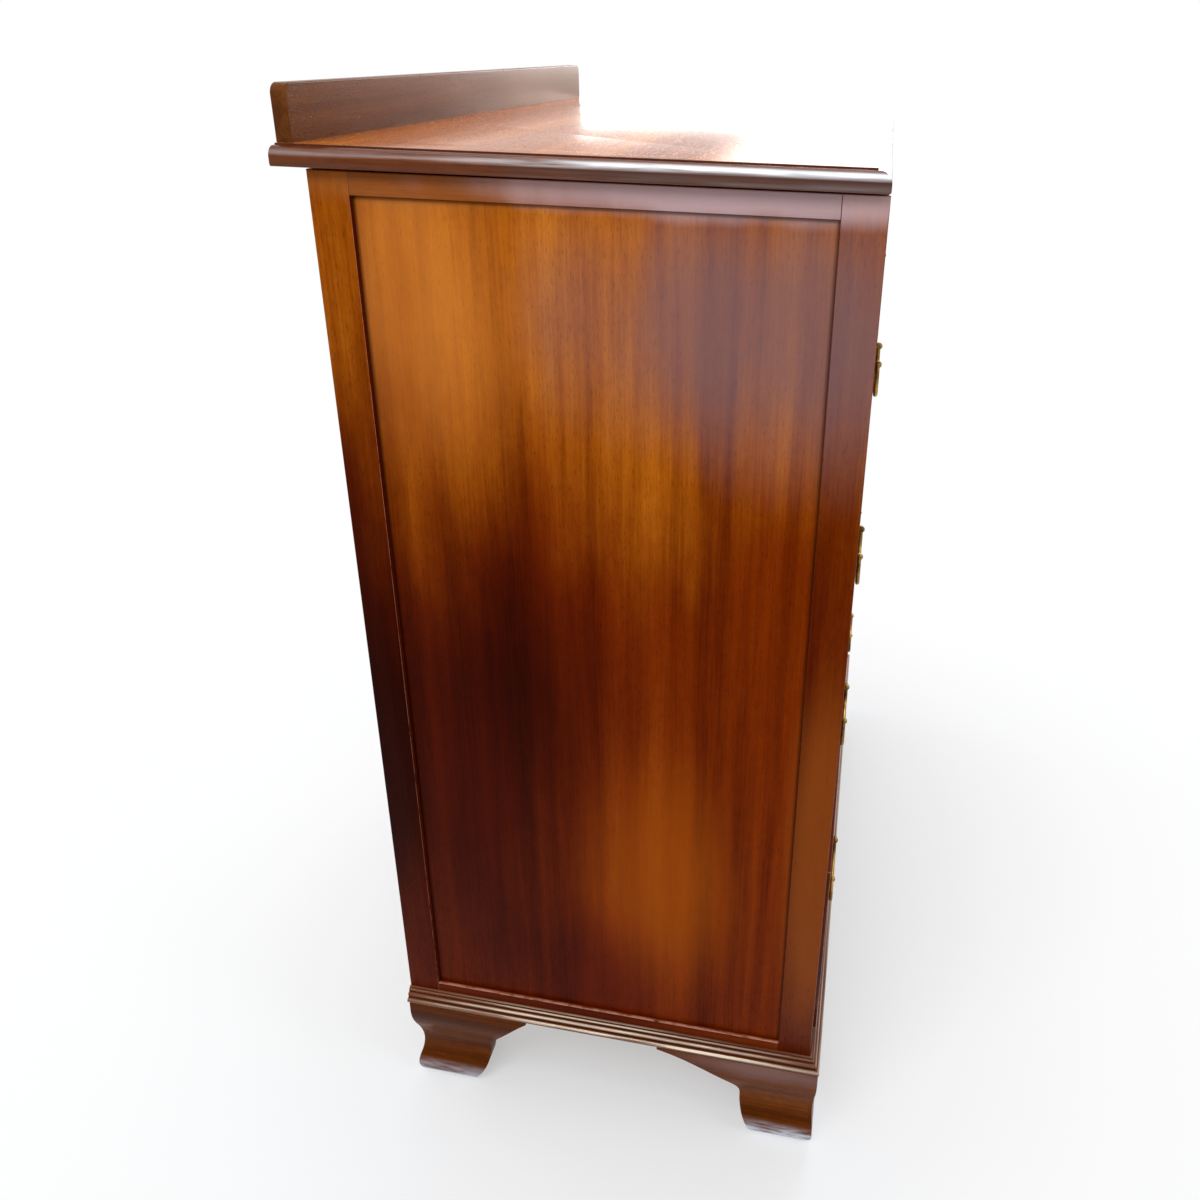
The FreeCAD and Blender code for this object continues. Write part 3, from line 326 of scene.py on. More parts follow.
def bareWood(name, look):
    material, tree, shader = newMaterial(name)
    board = addNode(tree, "ShaderNodeAttribute", attribute_name="boardSpace").outputs["Vector"]
    along, across = 1000 / look["ringLength"], 1000 / look["ringWidth"]
    rings = addNode(tree, "ShaderNodeMapping", {"Vector": board, "Scale": (along, across, across)})
    ring = addNode(tree, "ShaderNodeTexNoise", {
        "Vector": rings.outputs[0], "Scale": 1, "Detail": 3, "Roughness": 0.6}).outputs["Fac"]
    stains = addNode(tree, "ShaderNodeMapping", {"Vector": board, "Scale": bareGrain["stains"]})
    stain = addNode(tree, "ShaderNodeTexNoise", {
        "Vector": stains.outputs[0], "Scale": 1, "Detail": 4}).outputs["Fac"]
    tone = addNode(tree, "ShaderNodeMix", {0: bareGrain["stainShare"], 2: ring, 3: stain}).outputs[0]
    wood = addNode(tree, "ShaderNodeValToRGB", {"Fac": tone}, stops=look["tones"]).outputs["Color"]
    tree.links.new(wood, shader.inputs["Base Color"])
    raised = addNode(tree, "ShaderNodeBump", {
        "Height": ring, "Strength": 0.5, "Distance": bareGrain["raised"] * mm})
    tree.links.new(raised.outputs[0], shader.inputs["Normal"])
    shader.inputs["Roughness"].default_value = look["rough"]
    shader.inputs["Specular IOR Level"].default_value = bareGrain["shine"]
    return material


finishes["agedPine"] = bareWood("agedPine", {
    "ringLength": 900, "ringWidth": 7, "rough": 0.7,
    "tones": ((0.25, "#664630"), (0.45, "#8A6444"), (0.6, "#A07A56"), (0.8, "#B8946C"))})
finishes["oakLining"] = bareWood("oakLining", {
    "ringLength": 380, "ringWidth": 3, "rough": 0.62,
    "tones": ((0.25, "#7A5C3A"), (0.45, "#A07E52"), (0.6, "#B39264"), (0.8, "#C4A678"))})


# Cast and lacquered brass that has dulled: brown in the low places, yellow where hands polish it.
brassLook = {"bright": "#B08C4C", "dull": "#7A5A2C", "brown": "#4A3216", "cloud": 22, "speck": 1.6}   # mm
tarnish = {
    "speckShare": 0.3, "brownTo": 0.34, "dullAt": 0.47, "brightFrom": 0.62,
    "rough": (0.5, 0.24), "pits": 0.15,     # from the brown to the bright places; pits in mm
}


def agedBrass(name, look):
    material, tree, shader = newMaterial(name)
    place = addNode(tree, "ShaderNodeTexCoord").outputs["Object"]
    cloud = addNode(tree, "ShaderNodeTexNoise", {
        "Vector": place, "Scale": 1000 / look["cloud"], "Detail": 4, "Roughness": 0.6}).outputs["Fac"]
    speck = addNode(tree, "ShaderNodeTexNoise", {
        "Vector": place, "Scale": 1000 / look["speck"], "Detail": 2}).outputs["Fac"]
    tone = addNode(tree, "ShaderNodeMix", {0: tarnish["speckShare"], 2: cloud, 3: speck}).outputs[0]
    metal = addNode(tree, "ShaderNodeValToRGB", {"Fac": tone}, stops=(
        (tarnish["brownTo"], look["brown"]), (tarnish["dullAt"], look["dull"]),
        (tarnish["brightFrom"], look["bright"]))).outputs["Color"]
    wearAndPaintedLight = addNode(tree, "ShaderNodeAttribute", attribute_name="wearAndPaintedLight").outputs["Fac"]
    metal = addNode(tree, "ShaderNodeMix", {0: wearAndPaintedLight, 6: metal, 7: linear(look["bright"])},
                    data_type="RGBA").outputs[2]
    tree.links.new(metal, shader.inputs["Base Color"])
    rough = addNode(tree, "ShaderNodeMapRange", {
        "Value": tone, "From Min": 0.3, "From Max": 0.7,
        "To Min": tarnish["rough"][0], "To Max": tarnish["rough"][1]}).outputs[0]
    tree.links.new(rough, shader.inputs["Roughness"])
    pitted = addNode(tree, "ShaderNodeBump", {
        "Height": tone, "Strength": 0.4, "Distance": tarnish["pits"] * mm})
    tree.links.new(pitted.outputs[0], shader.inputs["Normal"])
    shader.inputs["Metallic"].default_value = 1
    return material


finishes["agedBrass"] = agedBrass("agedBrass", brassLook)
# Turned steel screws, browned with age, with brighter streaks where the driver has been.
finishes["brownedSteel"] = agedBrass("brownedSteel", {
    "bright": "#8C8680", "dull": "#56504A", "brown": "#3A281C", "cloud": 3, "speck": 0.6})
print("chiffonier: metal mixed")


def solidsOf(mesh):
    # A node's triangles lie solid after solid, and a solid is whole once each edge has met its partner.
    corners = [tuple(round(value / mm * 1000) for value in vertex.co) for vertex in mesh.vertices]
    waiting, solids, faces = {}, [], []
    for face in mesh.polygons:
        loop = [corners[index] for index in face.vertices]
        faces.append(list(face.vertices))
        for start, end in zip(loop, loop[1:] + loop[:1]):
            if start == end:
                continue
            if waiting.get((end, start)):
                waiting[end, start] -= 1
                if not waiting[end, start]:
                    del waiting[end, start]
            else:
                waiting[start, end] = waiting.get((start, end), 0) + 1
        if not waiting:
            solids.append(faces)
            faces = []
    return corners, solids


def extent(points):
    return [[limit(point[axis] for point in points) for axis in range(3)] for limit in (min, max)]


boards = {
    "treeReach": 8,                          # metres that the places of two boards in the tree lie apart
    "flatAngle": 0.6, "sharpAngle": 32,      # degrees: faces that are one plane, edges that a plane softens
    "arrisSteps": 3,
    "ledgeShade": -0.7, "ledgeDepth": 2,      # painted shadow on the ledge where it meets a sunk panel; mm that it may be out by
}


def boardSpace(points, name):
    # Grain runs with the board's longest side, and each board is cut from another place in the tree.
    low, high = extent(points)
    axes = sorted(range(3), key=lambda axis: low[axis] - high[axis])
    tree = random.Random(name)
    shift = [tree.uniform(-boards["treeReach"], boards["treeReach"]) for axis in range(3)]
    return [[point[axis] + move for axis, move in zip(axes, shift)] for point in points]


def finishMesh(name, points, faces, space, wearAndPaintedLight, tones=None, smoothTo=20):
    mesh = bpy.data.meshes.new(name)
    mesh.from_pydata(points, [], faces)
    mesh.attributes.new("boardSpace", "FLOAT_VECTOR", "POINT").data.foreach_set(
        "vector", [value for spot in space for value in spot])
    mesh.attributes.new("wearAndPaintedLight", "FLOAT", "CORNER").data.foreach_set("value", wearAndPaintedLight)
    mesh.attributes.new("boardTone", "FLOAT", "POINT").data.foreach_set("value", tones or [0] * len(points))
    mesh.polygons.foreach_set("use_smooth", [True] * len(mesh.polygons))
    mesh.set_sharp_from_angle(angle=math.radians(smoothTo))
    mesh.update()
    return mesh


def place(name, mesh, node, finish):
    piece = bpy.data.objects.new(name, mesh)
    scene.collection.objects.link(piece)
    mesh.materials.clear()
    mesh.materials.append(finishes[finish])
    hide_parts(node)
    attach(piece, frame["nodes"][node]["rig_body"])
    return piece


recess = {
    # the sunk panels in the sides, in mm: the opening between the stiles and rails, and the case's half width
    "front": -211.75, "back": 200.25, "low": 148.5, "high": 1074.5, "top": 1094.5, "outside": 421,
    # the wide arrises' rounding and the strength of their pale tone, partly wear and partly a painted
    # highlight; mm of painted shadow along the panel's edges
    "shadeWidth": 4, "arris": 1.3, "arrisMark": 1.6, "tolerance": 0.05,
}


def onRecess(edge):
    # edges of the side frames round the panel and along the top, worn and also given a pale painted highlight
    # where they would catch the light
    ends = [vertex.co / mm for vertex in edge.verts]

    def allNear(values, *marks):
        return all(any(abs(value - mark) < recess["tolerance"] for mark in marks) for value in values)

    return allNear([abs(end.x) for end in ends], recess["outside"]) and (
        allNear([end.y for end in ends], recess["front"], recess["back"])
        or allNear([end.z for end in ends], recess["low"], recess["high"], recess["top"]))


# mm: heights that carry the curve of a worn toe, its radius outside and towards the middle of the case,
# and the radius of its outer corner on the floor, carried by upright cuts
toe = {"heights": (0.5, 1.6, 3.4, 6, 9.5, 14, 22), "outside": 10, "inside": 22,
       "corner": 9, "cornerCuts": (1, 2.5, 4, 5.5, 7, 9, 11, 13, 16), "slack": 0.1}
weld = {"cut": 1e-6, "merge": 1e-5}          # metres


def cut(board, spot, normal, chosen=None):
    if chosen is None:
        chosen = board.verts[:] + board.edges[:] + board.faces[:]
    bmesh.ops.bisect_plane(board, geom=chosen, plane_co=spot, plane_no=normal, dist=weld["cut"])


def arcInset(radius, up):
    # metres that a quarter round of this radius in mm stands back at a height in mm
    return (radius - math.sqrt(radius ** 2 - max(0, radius - up) ** 2)) * mm


def roundToe(board, low, high):
    sides = [math.copysign(1, value) for value in low]
    spans = [sorted((abs(low[axis]), abs(high[axis]))) for axis in (0, 1)]
    for height in toe["heights"]:
        cut(board, (0, 0, height * mm), (0, 0, 1))
    for axis in (0, 1):
        for inward in toe["cornerCuts"]:
            under = [face for face in board.faces
                     if all(vertex.co.z / mm < toe["inside"] + toe["slack"] for vertex in face.verts)]
            edges = list(dict.fromkeys(edge for face in under for edge in face.edges))
            ends = list(dict.fromkeys(vertex for face in under for vertex in face.verts))
            spot, normal = [0, 0, 0], [0, 0, 0]
            spot[axis], normal[axis] = sides[axis] * (spans[axis][1] - inward * mm), 1
            cut(board, spot, normal, ends + edges + under)
    for vertex in board.verts:
        up = max(0, vertex.co.z / mm)
        if up >= toe["inside"]:
            continue
        outInset, inInset = arcInset(toe["outside"], up), arcInset(toe["inside"], up)
        corner = toe["corner"] * (1 - up / toe["inside"]) ** 2 * mm
        past = []
        for axis in (0, 1):
            near, far = spans[axis]
            out = min(max(sides[axis] * vertex.co[axis], near + inInset), far - outInset)
            vertex.co[axis] = sides[axis] * out
            past.append(out - (far - outInset - corner))
        if min(past) > 0 and math.hypot(*past) > corner:
            for axis in (0, 1):
                vertex.co[axis] -= sides[axis] * past[axis] * (1 - corner / math.hypot(*past))
    bmesh.ops.remove_doubles(board, verts=board.verts[:], dist=weld["merge"])


def soften(board, width, chosen):
    # the faces of a rounding on each chosen edge that stands out
    sharp = [edge for edge in board.edges if edge.is_manifold and chosen(edge)
             and edge.calc_face_angle_signed(0) > math.radians(boards["sharpAngle"])]
    return bmesh.ops.bevel(board, geom=sharp, offset=width * mm, offset_type="OFFSET", profile=0.5,
                           segments=boards["arrisSteps"], affect="EDGES", clamp_overlap=True)["faces"]


def dressed(node, arris, wideArris=None, cuts=(), dirtWearAndPaintedLight=None, arrisMark=1, smoothTo=20):
    # Each solid of a node, welded, with its sharp edges softened and its own run of the grain.
    source = frame["nodes"][node].data
    corners, solids = solidsOf(source)
    toeBox = None
    if node.endswith("foot"):
        toeBox = extent([vertex.co for vertex in source.vertices if vertex.co.z / mm < toe["inside"]])
    points, faces, space, wearAndPaintedLight, tones = [], [], [], [], []
    for number, triangles in enumerate(solids):
        board = bmesh.new()
        made = {}
        for triangle in triangles:
            for index in triangle:
                if corners[index] not in made:
                    made[corners[index]] = board.verts.new(source.vertices[index].co)
            ring = [made[corners[index]] for index in triangle]
            if len(set(ring)) == 3 and not board.faces.get(ring):
                board.faces.new(ring)
        bmesh.ops.dissolve_limit(board, angle_limit=math.radians(boards["flatAngle"]),
                                 verts=board.verts[:], edges=board.edges[:])
        for spot, normal in cuts:
            cut(board, spot, normal)
        wornAndHighlitFaces = set()
        if wideArris:
            wornAndHighlitFaces |= set(soften(board, wideArris, onRecess))
        if arris:
            wornAndHighlitFaces |= set(soften(board, arris, lambda edge: True))
        if toeBox:
            roundToe(board, *toeBox)
        board.verts.index_update()
        start = len(points)
        own = [vertex.co.copy() for vertex in board.verts]
        points += own
        space += boardSpace(own, f"{node} {number}")
        tones += [random.Random(f"{node} {number} tone").uniform(-1, 1)] * len(own)
        for face in board.faces:
            faces.append([start + vertex.index for vertex in face.verts])
            height = face.calc_center_median().z / mm
            # the ledge under a sunk panel: a painted highlight along its outer edge and a painted shadow
            # where it meets the panel
            if face.normal.z > 0.5 and abs(height - recess["low"]) < boards["ledgeDepth"]:
                wearAndPaintedLight += [arrisMark if abs(vertex.co.x) / mm > recess["outside"] - boards["ledgeDepth"]
                        else boards["ledgeShade"] for vertex in face.verts]
            elif dirtWearAndPaintedLight:
                wearAndPaintedLight += [dirtWearAndPaintedLight(vertex.co) for vertex in face.verts]
            else:
                wearAndPaintedLight += [arrisMark if face in wornAndHighlitFaces else 0 for vertex in face.verts]
        board.free()
    return finishMesh(node, points, faces, space, wearAndPaintedLight, tones, smoothTo)


def panelEdgeShade(point):
    # painted shadow, with a little dirt: darker along the front, back and top edges of the sunk panel, where
    # the frame shades it
    edge = min(point.y / mm - recess["front"], recess["back"] - point.y / mm, recess["high"] - point.z / mm)
    return -max(0, min(1, 1 - edge / recess["shadeWidth"]))


panelCuts = []
for axis, low, high in ((1, recess["front"], recess["back"]), (2, recess["low"], recess["high"])):
    for value in (low, low + recess["shadeWidth"], high - recess["shadeWidth"], high):
        spot, normal = Vector(), Vector()
        spot[axis], normal[axis] = value * mm, 1
        panelCuts.append((spot, normal))

# mm up from the floor that the toes are scuffed and carry a pale painted highlight, and how much
scuffAndSheen = {"height": 26, "front": 2.1, "back": 1.1}


def toeScuffAndSheen(point):
    return scuffAndSheen["front" if point.y < 0 else "back"] * max(0, 1 - point.z / mm / scuffAndSheen["height"])


woodwork = {
    # node: (finish, arris in mm)
    "top_board": ("topMahogany", 0.7),
    "backboard": ("lowBackMahogany", 0.8),
    "top_front_rail": ("polishedMahogany", 0.5),
    "drawer_dividers": ("polishedMahogany", 0.5),
    "plinth_front_rail": ("polishedMahogany", 0.5),
    "back_frame": ("agedPine", 0.7),
    "back_panels": ("agedPine", 0),
    "drawer_runners": ("agedPine", 0.5),
    "top_kickers": ("agedPine", 0.5),
    "drawer_stops": ("agedPine", 0.4),
    "bottom_board": ("agedPine", 0.4),
}
for hand in ("left", "right"):
    woodwork[f"{hand}_front_stile"] = ("polishedMahogany", 0.3)
    woodwork[f"{hand}_back_stile"] = ("polishedMahogany", 0.3)
    woodwork[f"{hand}_side_rails"] = ("polishedMahogany", 0.3)
    woodwork[f"{hand}_front_foot"] = ("footMahogany", 0.8)
    woodwork[f"{hand}_back_foot"] = ("footMahogany", 0.8)
drawers = ("frieze_drawer", "first_drawer", "second_drawer", "third_drawer", "bottom_drawer")
for drawer in drawers:
    woodwork[f"{drawer}_front"] = ("frontMahogany", 0.4)
    woodwork[f"{drawer}_sides"] = ("oakLining", 0.3)
    woodwork[f"{drawer}_back"] = ("oakLining", 0.4)
    woodwork[f"{drawer}_bottom"] = ("oakLining", 0.2)

# the frame's edges round the sunk panels are rounded wider and carry a pale painted highlight
for node, (finish, arris) in woodwork.items():
    wide = recess["arris"] if node.endswith(("stile", "side_rails")) else None
    place(f"{node}_wood", dressed(
        node, arris, wide, dirtWearAndPaintedLight=toeScuffAndSheen if node.endswith("foot") else None,
        arrisMark=-1 if node == "top_board" else recess["arrisMark"] if wide else 1), node, finish)
for hand in ("left", "right"):
    node = f"{hand}_side_panel"
    place(f"{node}_wood", dressed(node, 0, cuts=panelCuts, dirtWearAndPaintedLight=panelEdgeShade), node, "panelMahogany")
print("chiffonier: boards dressed")


def newTree(name, sizes):
    tree = bpy.data.node_groups.new(name, "GeometryNodeTree")
    for way in ("INPUT", "OUTPUT"):
        tree.interface.new_socket("Geometry", in_out=way, socket_type="NodeSocketGeometry")
    for label, value in sizes.items():
        kind = "Material" if value is None else "Int" if isinstance(value, int) else "Float"
        socket = tree.interface.new_socket(label, in_out="INPUT", socket_type="NodeSocket" + kind)
        if value is not None:
            socket.default_value = value
    return tree, addNode(tree, "NodeGroupInput").outputs


def closeTree(tree, shape, material):
    whole = addNode(tree, "GeometryNodeRealizeInstances", {"Geometry": shape})
    coloured = addNode(tree, "GeometryNodeSetMaterial", {"Geometry": whole.outputs[0], "Material": material})
    addNode(tree, "NodeGroupOutput", {0: coloured.outputs[0]})


def grown(tree, start, sizes):
    # The tree's result on a starting mesh, as a plain mesh.
    host = bpy.data.objects.new("host", start)
    scene.collection.objects.link(host)
    modifier = host.modifiers.new("growth", "NODES")
    modifier.node_group = tree
    for item in tree.interface.items_tree:
        if item.in_out == "INPUT" and item.name in sizes:
            modifier[item.identifier] = sizes[item.name]
    ready = host.evaluated_get(bpy.context.evaluated_depsgraph_get())
    mesh = bpy.data.meshes.new_from_object(ready)
    host.modifiers.remove(modifier)
    bpy.data.objects.remove(host)
    return mesh


def flatMesh(name, points, edges=(), faces=(), **values):
    mesh = bpy.data.meshes.new(name)
    mesh.from_pydata(points, edges, faces)
    for label, numbers in values.items():
        mesh.attributes.new(label, "FLOAT", "POINT").data.foreach_set("value", numbers)
    mesh.update()
    return mesh


# A moulding's section is pushed out along x, and both ends are cut to a mitre.
mouldingTree, put = newTree("mitredMoulding", {
    "Length": 1.0, "Width": 0.01, "Start Mitre": 1.0, "End Mitre": 1.0, "Finish": None})
pushed = addNode(mouldingTree, "GeometryNodeExtrudeMesh", {
    "Mesh": put["Geometry"], "Individual": False,
    "Offset": addNode(mouldingTree, "ShaderNodeCombineXYZ", {0: put["Length"]}).outputs[0]}, mode="FACES")
endCap = addNode(mouldingTree, "GeometryNodeFlipFaces", {0: put["Geometry"]})
both = addNode(mouldingTree, "GeometryNodeJoinGeometry", {0: pushed.outputs["Mesh"]})
mouldingTree.links.new(endCap.outputs[0], both.inputs[0])
whole = addNode(mouldingTree, "GeometryNodeMergeByDistance", {
    "Geometry": both.outputs[0], "Distance": weld["cut"]})
spot = addNode(mouldingTree, "ShaderNodeSeparateXYZ", {
    0: addNode(mouldingTree, "GeometryNodeInputPosition").outputs[0]})
inward = addNode(mouldingTree, "ShaderNodeMath", {0: put["Width"], 1: spot.outputs["Y"]},
                 operation="ADD").outputs[0]
runShare = addNode(mouldingTree, "ShaderNodeMath", {0: spot.outputs["X"], 1: put["Length"]},
                   operation="DIVIDE").outputs[0]
endMitre = addNode(mouldingTree, "ShaderNodeMath", {0: put["End Mitre"], 1: -1},
                   operation="MULTIPLY").outputs[0]
mitre = addNode(mouldingTree, "ShaderNodeMix", {
    0: runShare, 2: put["Start Mitre"], 3: endMitre}).outputs[0]
shift = addNode(mouldingTree, "ShaderNodeMath", {0: inward, 1: mitre}, operation="MULTIPLY").outputs[0]
shifted = addNode(mouldingTree, "GeometryNodeSetPosition", {
    "Geometry": whole.outputs[0],
    "Offset": addNode(mouldingTree, "ShaderNodeCombineXYZ", {0: shift}).outputs[0]})
closeTree(mouldingTree, shifted.outputs[0], put["Finish"])


def arc(centre, radius, start, end, steps):
    # points of an arc with its angles in degrees
    angles = [math.radians(start + (end - start) * step / steps) for step in range(steps + 1)]
    return [(centre[0] + radius * math.cos(angle), centre[1] + radius * math.sin(angle)) for angle in angles]


def mouldingRuns(node, section, seat, finish):
    # section: (out, up, rub) in mm; three lengths round the front and the sides
    width, span, front, back = [seat[key] for key in ("width", "span", "front", "back")]
    points, faces, space, wearAndPaintedLight, tones = [], [], [], [], []
    rubAt = {(round(out, 3), round(up, 3)): mark for out, up, mark in section}
    frontLength = span + 2 * width
    sideLength = back - front + width
    runs = (
        (frontLength, 1, 1, lambda x, y, z: (x - frontLength / 2, front + y, z)),
        (sideLength, 0, 1, lambda x, y, z: (-span / 2 + y, back - x, z)),
        (sideLength, 1, 0, lambda x, y, z: (span / 2 - y, front - width + x, z)),
    )
    for number, (length, startMitre, endMitre, put) in enumerate(runs):
        start = flatMesh("section", [(0, -out * mm, up * mm) for out, up, mark in section],
                         faces=[list(range(len(section)))])
        run = grown(mouldingTree, start, {
            "Length": length * mm, "Width": width * mm, "Start Mitre": float(startMitre),
            "End Mitre": float(endMitre), "Finish": finishes[finish]})
        first = len(points)
        own = [Vector(put(*(value / mm for value in vertex.co))) for vertex in run.vertices]
        own = [Vector((point.x, point.y, point.z + seat["bottom"])) * mm for point in own]
        points += own
        space += boardSpace(own, f"{node} {number}")
        tones += [random.Random(f"{node} {number} tone").uniform(-1, 1)] * len(own)
        for face in run.polygons:
            faces.append([first + index for index in face.vertices])
            for index in face.vertices:
                spot = run.vertices[index].co / mm
                wearAndPaintedLight.append(rubAt.get((round(-spot.y, 3), round(spot.z, 3)), 0))
    mesh = finishMesh(node, points, faces, space, wearAndPaintedLight, tones)
    shell = bmesh.new()
    shell.from_mesh(mesh)
    bmesh.ops.recalc_face_normals(shell, faces=shell.faces[:])
    shell.to_mesh(mesh)
    shell.free()
    return place(f"{node}_run", mesh, node, finish)


reeds = {
    # out and radius in mm and share of the wear and painted highlight, from the lowest up
    "reeds": ((12, 3.2, 1), (8.4, 2.8, 0.8), (5, 1.9, 0.4)),
    "filletOut": 2.5, "height": 17, "steps": 12,
    "wearAndPaintedLight": (-0.45, -0.2, 0, 0, 0, 0, 0, 0.5, 1.4, 2, 1, 0, -0.4), "filletRub": (-0.8, 0.5),
    # mm that it stands out, the width of the case between its side lengths, and where it lies
    "width": 12, "span": 842, "front": -248.75, "back": 237.25, "bottom": 120,
}
section = [(0, 0, 0)]
low = 0
for out, radius, share in reeds["reeds"]:
    for mark, (x, z) in zip(reeds["wearAndPaintedLight"], arc((out - radius, low + radius), radius, -90, 90, reeds["steps"])):
        # a pale painted highlight, partly wear, lies on the upper side of each reed, and the quirk below it
        # is darker
        section.append((x, z, mark * share if mark > 0 else mark))
    low += 2 * radius
section += [(reeds["filletOut"], up, mark) for up, mark in zip((low, reeds["height"]), reeds["filletRub"])]
section.append((0, reeds["height"], 0))
mouldingRuns("base_moulding", section, reeds, "reedMahogany")

thumb = {
    "underRound": 2.2, "underSteps": 5, "top": 16.5, "ovolo": 9, "steps": 14,
    # painted highlight: where along the ovolo's steps it is most, over how many it fades, and how much it is
    "highlightStep": 5.2, "highlightWidth": 4.2, "wearAndPaintedLight": 1.6, "underRub": 0.1, "quirkRub": -1,
    "width": 11, "span": 848, "front": -237.75, "back": 260.75, "bottom": 1097,
}
section = [(0, 0, 0)]
section += [(x, z, thumb["underRub"]) for x, z in arc(
    (thumb["width"] - thumb["underRound"], thumb["underRound"]), thumb["underRound"], -90, 0,
    thumb["underSteps"])]
for number, (x, z) in enumerate(arc(
        (thumb["width"] - thumb["ovolo"], thumb["top"] - thumb["ovolo"]), thumb["ovolo"], 0, 90,
        thumb["steps"])):
    away = abs(number - thumb["highlightStep"]) / thumb["highlightWidth"]
    section.append((x, z, thumb["wearAndPaintedLight"] * max(0, 1 - away)))
section.append((0, thumb["top"], thumb["quirkRub"]))
mouldingRuns("top_edge_moulding", section, thumb, "thumbMahogany")
print("chiffonier: mouldings run")


screw = {
    # mm; each screw's own length takes over, and the point is a share of the shank's radius
    "head": 4.4, "headHeight": 2.6, "shank": 2.2, "length": 30, "point": 2,
    "slotLength": 20, "slotWidth": 1.0, "slotDepth": 1.1, "sides": 28, "seed": 4, "smoothTo": 30,
}
screwTree, put = newTree("countersunkScrews", {
    "Head Radius": screw["head"] * mm, "Head Height": screw["headHeight"] * mm,
    "Shank Radius": screw["shank"] * mm, "Length": screw["length"] * mm,
    "Slot Width": screw["slotWidth"] * mm, "Slot Depth": screw["slotDepth"] * mm,
    "Sides": screw["sides"], "Seed": screw["seed"], "Finish": None})
head = addNode(screwTree, "GeometryNodeMeshCone", {
    "Vertices": put["Sides"], "Radius Top": put["Shank Radius"], "Radius Bottom": put["Head Radius"],
    "Depth": put["Head Height"]})
# half of the slot's block lies below the head
slotBlock = addNode(screwTree, "ShaderNodeMath", {0: put["Slot Depth"], 1: 2},
                    operation="MULTIPLY").outputs[0]
slot = addNode(screwTree, "GeometryNodeMeshCube", {"Size": addNode(screwTree, "ShaderNodeCombineXYZ", {
    0: screw["slotLength"] * mm, 1: put["Slot Width"], 2: slotBlock}).outputs[0]})
slotted = addNode(screwTree, "GeometryNodeMeshBoolean", {"Mesh 1": head.outputs["Mesh"]},
                  operation="DIFFERENCE")
screwTree.links.new(slot.outputs["Mesh"], slotted.inputs["Mesh 2"])
point = addNode(screwTree, "ShaderNodeMath", {0: put["Shank Radius"], 1: screw["point"]},
                operation="MULTIPLY").outputs[0]
tipStart = addNode(screwTree, "ShaderNodeMath", {0: put["Length"], 1: point},
                   operation="SUBTRACT").outputs[0]
shankLength = addNode(screwTree, "ShaderNodeMath", {0: tipStart, 1: put["Head Height"]},
                      operation="SUBTRACT").outputs[0]
oneScrew = addNode(screwTree, "GeometryNodeJoinGeometry", {0: slotted.outputs["Mesh"]})
for radius, depth, up in ((put["Shank Radius"], shankLength, put["Head Height"]), (0.0, point, tipStart)):
    turned = addNode(screwTree, "GeometryNodeMeshCone", {
        "Vertices": put["Sides"], "Radius Top": radius, "Radius Bottom": put["Shank Radius"],
        "Depth": depth})
    raised = addNode(screwTree, "GeometryNodeTransform", {
        "Geometry": turned.outputs["Mesh"],
        "Translation": addNode(screwTree, "ShaderNodeCombineXYZ", {2: up}).outputs[0]})
    screwTree.links.new(raised.outputs[0], oneScrew.inputs[0])
turn = addNode(screwTree, "FunctionNodeRandomValue", {"Seed": put["Seed"], 2: 0.0, 3: math.pi},
               data_type="FLOAT")
driven = addNode(screwTree, "GeometryNodeInstanceOnPoints", {
    "Points": put["Geometry"], "Instance": oneScrew.outputs[0],
    "Rotation": addNode(screwTree, "ShaderNodeCombineXYZ", {2: turn.outputs[1]}).outputs[0]})
closeTree(screwTree, driven.outputs[0], put["Finish"])

screwMesh = frame["nodes"]["assembly_screws"].data
corners, solids = solidsOf(screwMesh)
spots = {}
for triangles in solids:
    low, high = extent([screwMesh.vertices[index].co for triangle in triangles for index in triangle])
    middle = [(low[axis] + high[axis]) / 2 for axis in (0, 1)]
    spots.setdefault(round((high[2] - low[2]) / mm), []).append((*middle, low[2]))
points, faces = [], []
for length, places in sorted(spots.items()):
    made = grown(screwTree, flatMesh("places", places), {
        "Length": length * mm, "Finish": finishes["brownedSteel"]})
    start = len(points)
    points += [vertex.co.copy() for vertex in made.vertices]
    faces += [[start + index for index in face.vertices] for face in made.polygons]
mesh = finishMesh("assembly_screws", points, faces, points, [0] * sum(map(len, faces)),
                  smoothTo=screw["smoothTo"])
place("assembly_screws_driven", mesh, "assembly_screws", "brownedSteel")
print("chiffonier: screws driven")


bail = {
    # mm: half the span of the shoulders, the bends, the drop, the wire's radius, and its ends in the posts
    "shoulder": 36.1, "neck": 5, "corner": 12, "drop": 30, "wire": 2.4,
    "pin": 1.7, "pinEnd": 29.4, "pinStep": 0.01,
    # shares of the wire's radius at both ends of the leg and of half the grip
    "legTop": 0.8, "legFoot": 0.9, "gripEnd": 0.95, "gripMiddle": 1.0,
    "sides": 24, "steps": 8, "legSteps": 5, "gripSteps": 7,
    # how bright hands keep the grip, and from what height over how many mm
    "wearAndPaintedLight": 0.75, "rubFrom": -22, "rubReach": 8,
    "fittingArris": 0.25, "fittingSmooth": 24, "smoothTo": 50,
}
bailTree, put = newTree("sweptBail", {
    "Wire Radius": bail["wire"] * mm, "Sides": bail["sides"], "Finish": None})
line = addNode(bailTree, "GeometryNodeMeshToCurve", {"Mesh": put["Geometry"]})
girth = addNode(bailTree, "GeometryNodeInputNamedAttribute", {"Name": "girth"}, data_type="FLOAT")
radius = addNode(bailTree, "ShaderNodeMath", {0: girth.outputs[0], 1: put["Wire Radius"]},
                 operation="MULTIPLY").outputs[0]
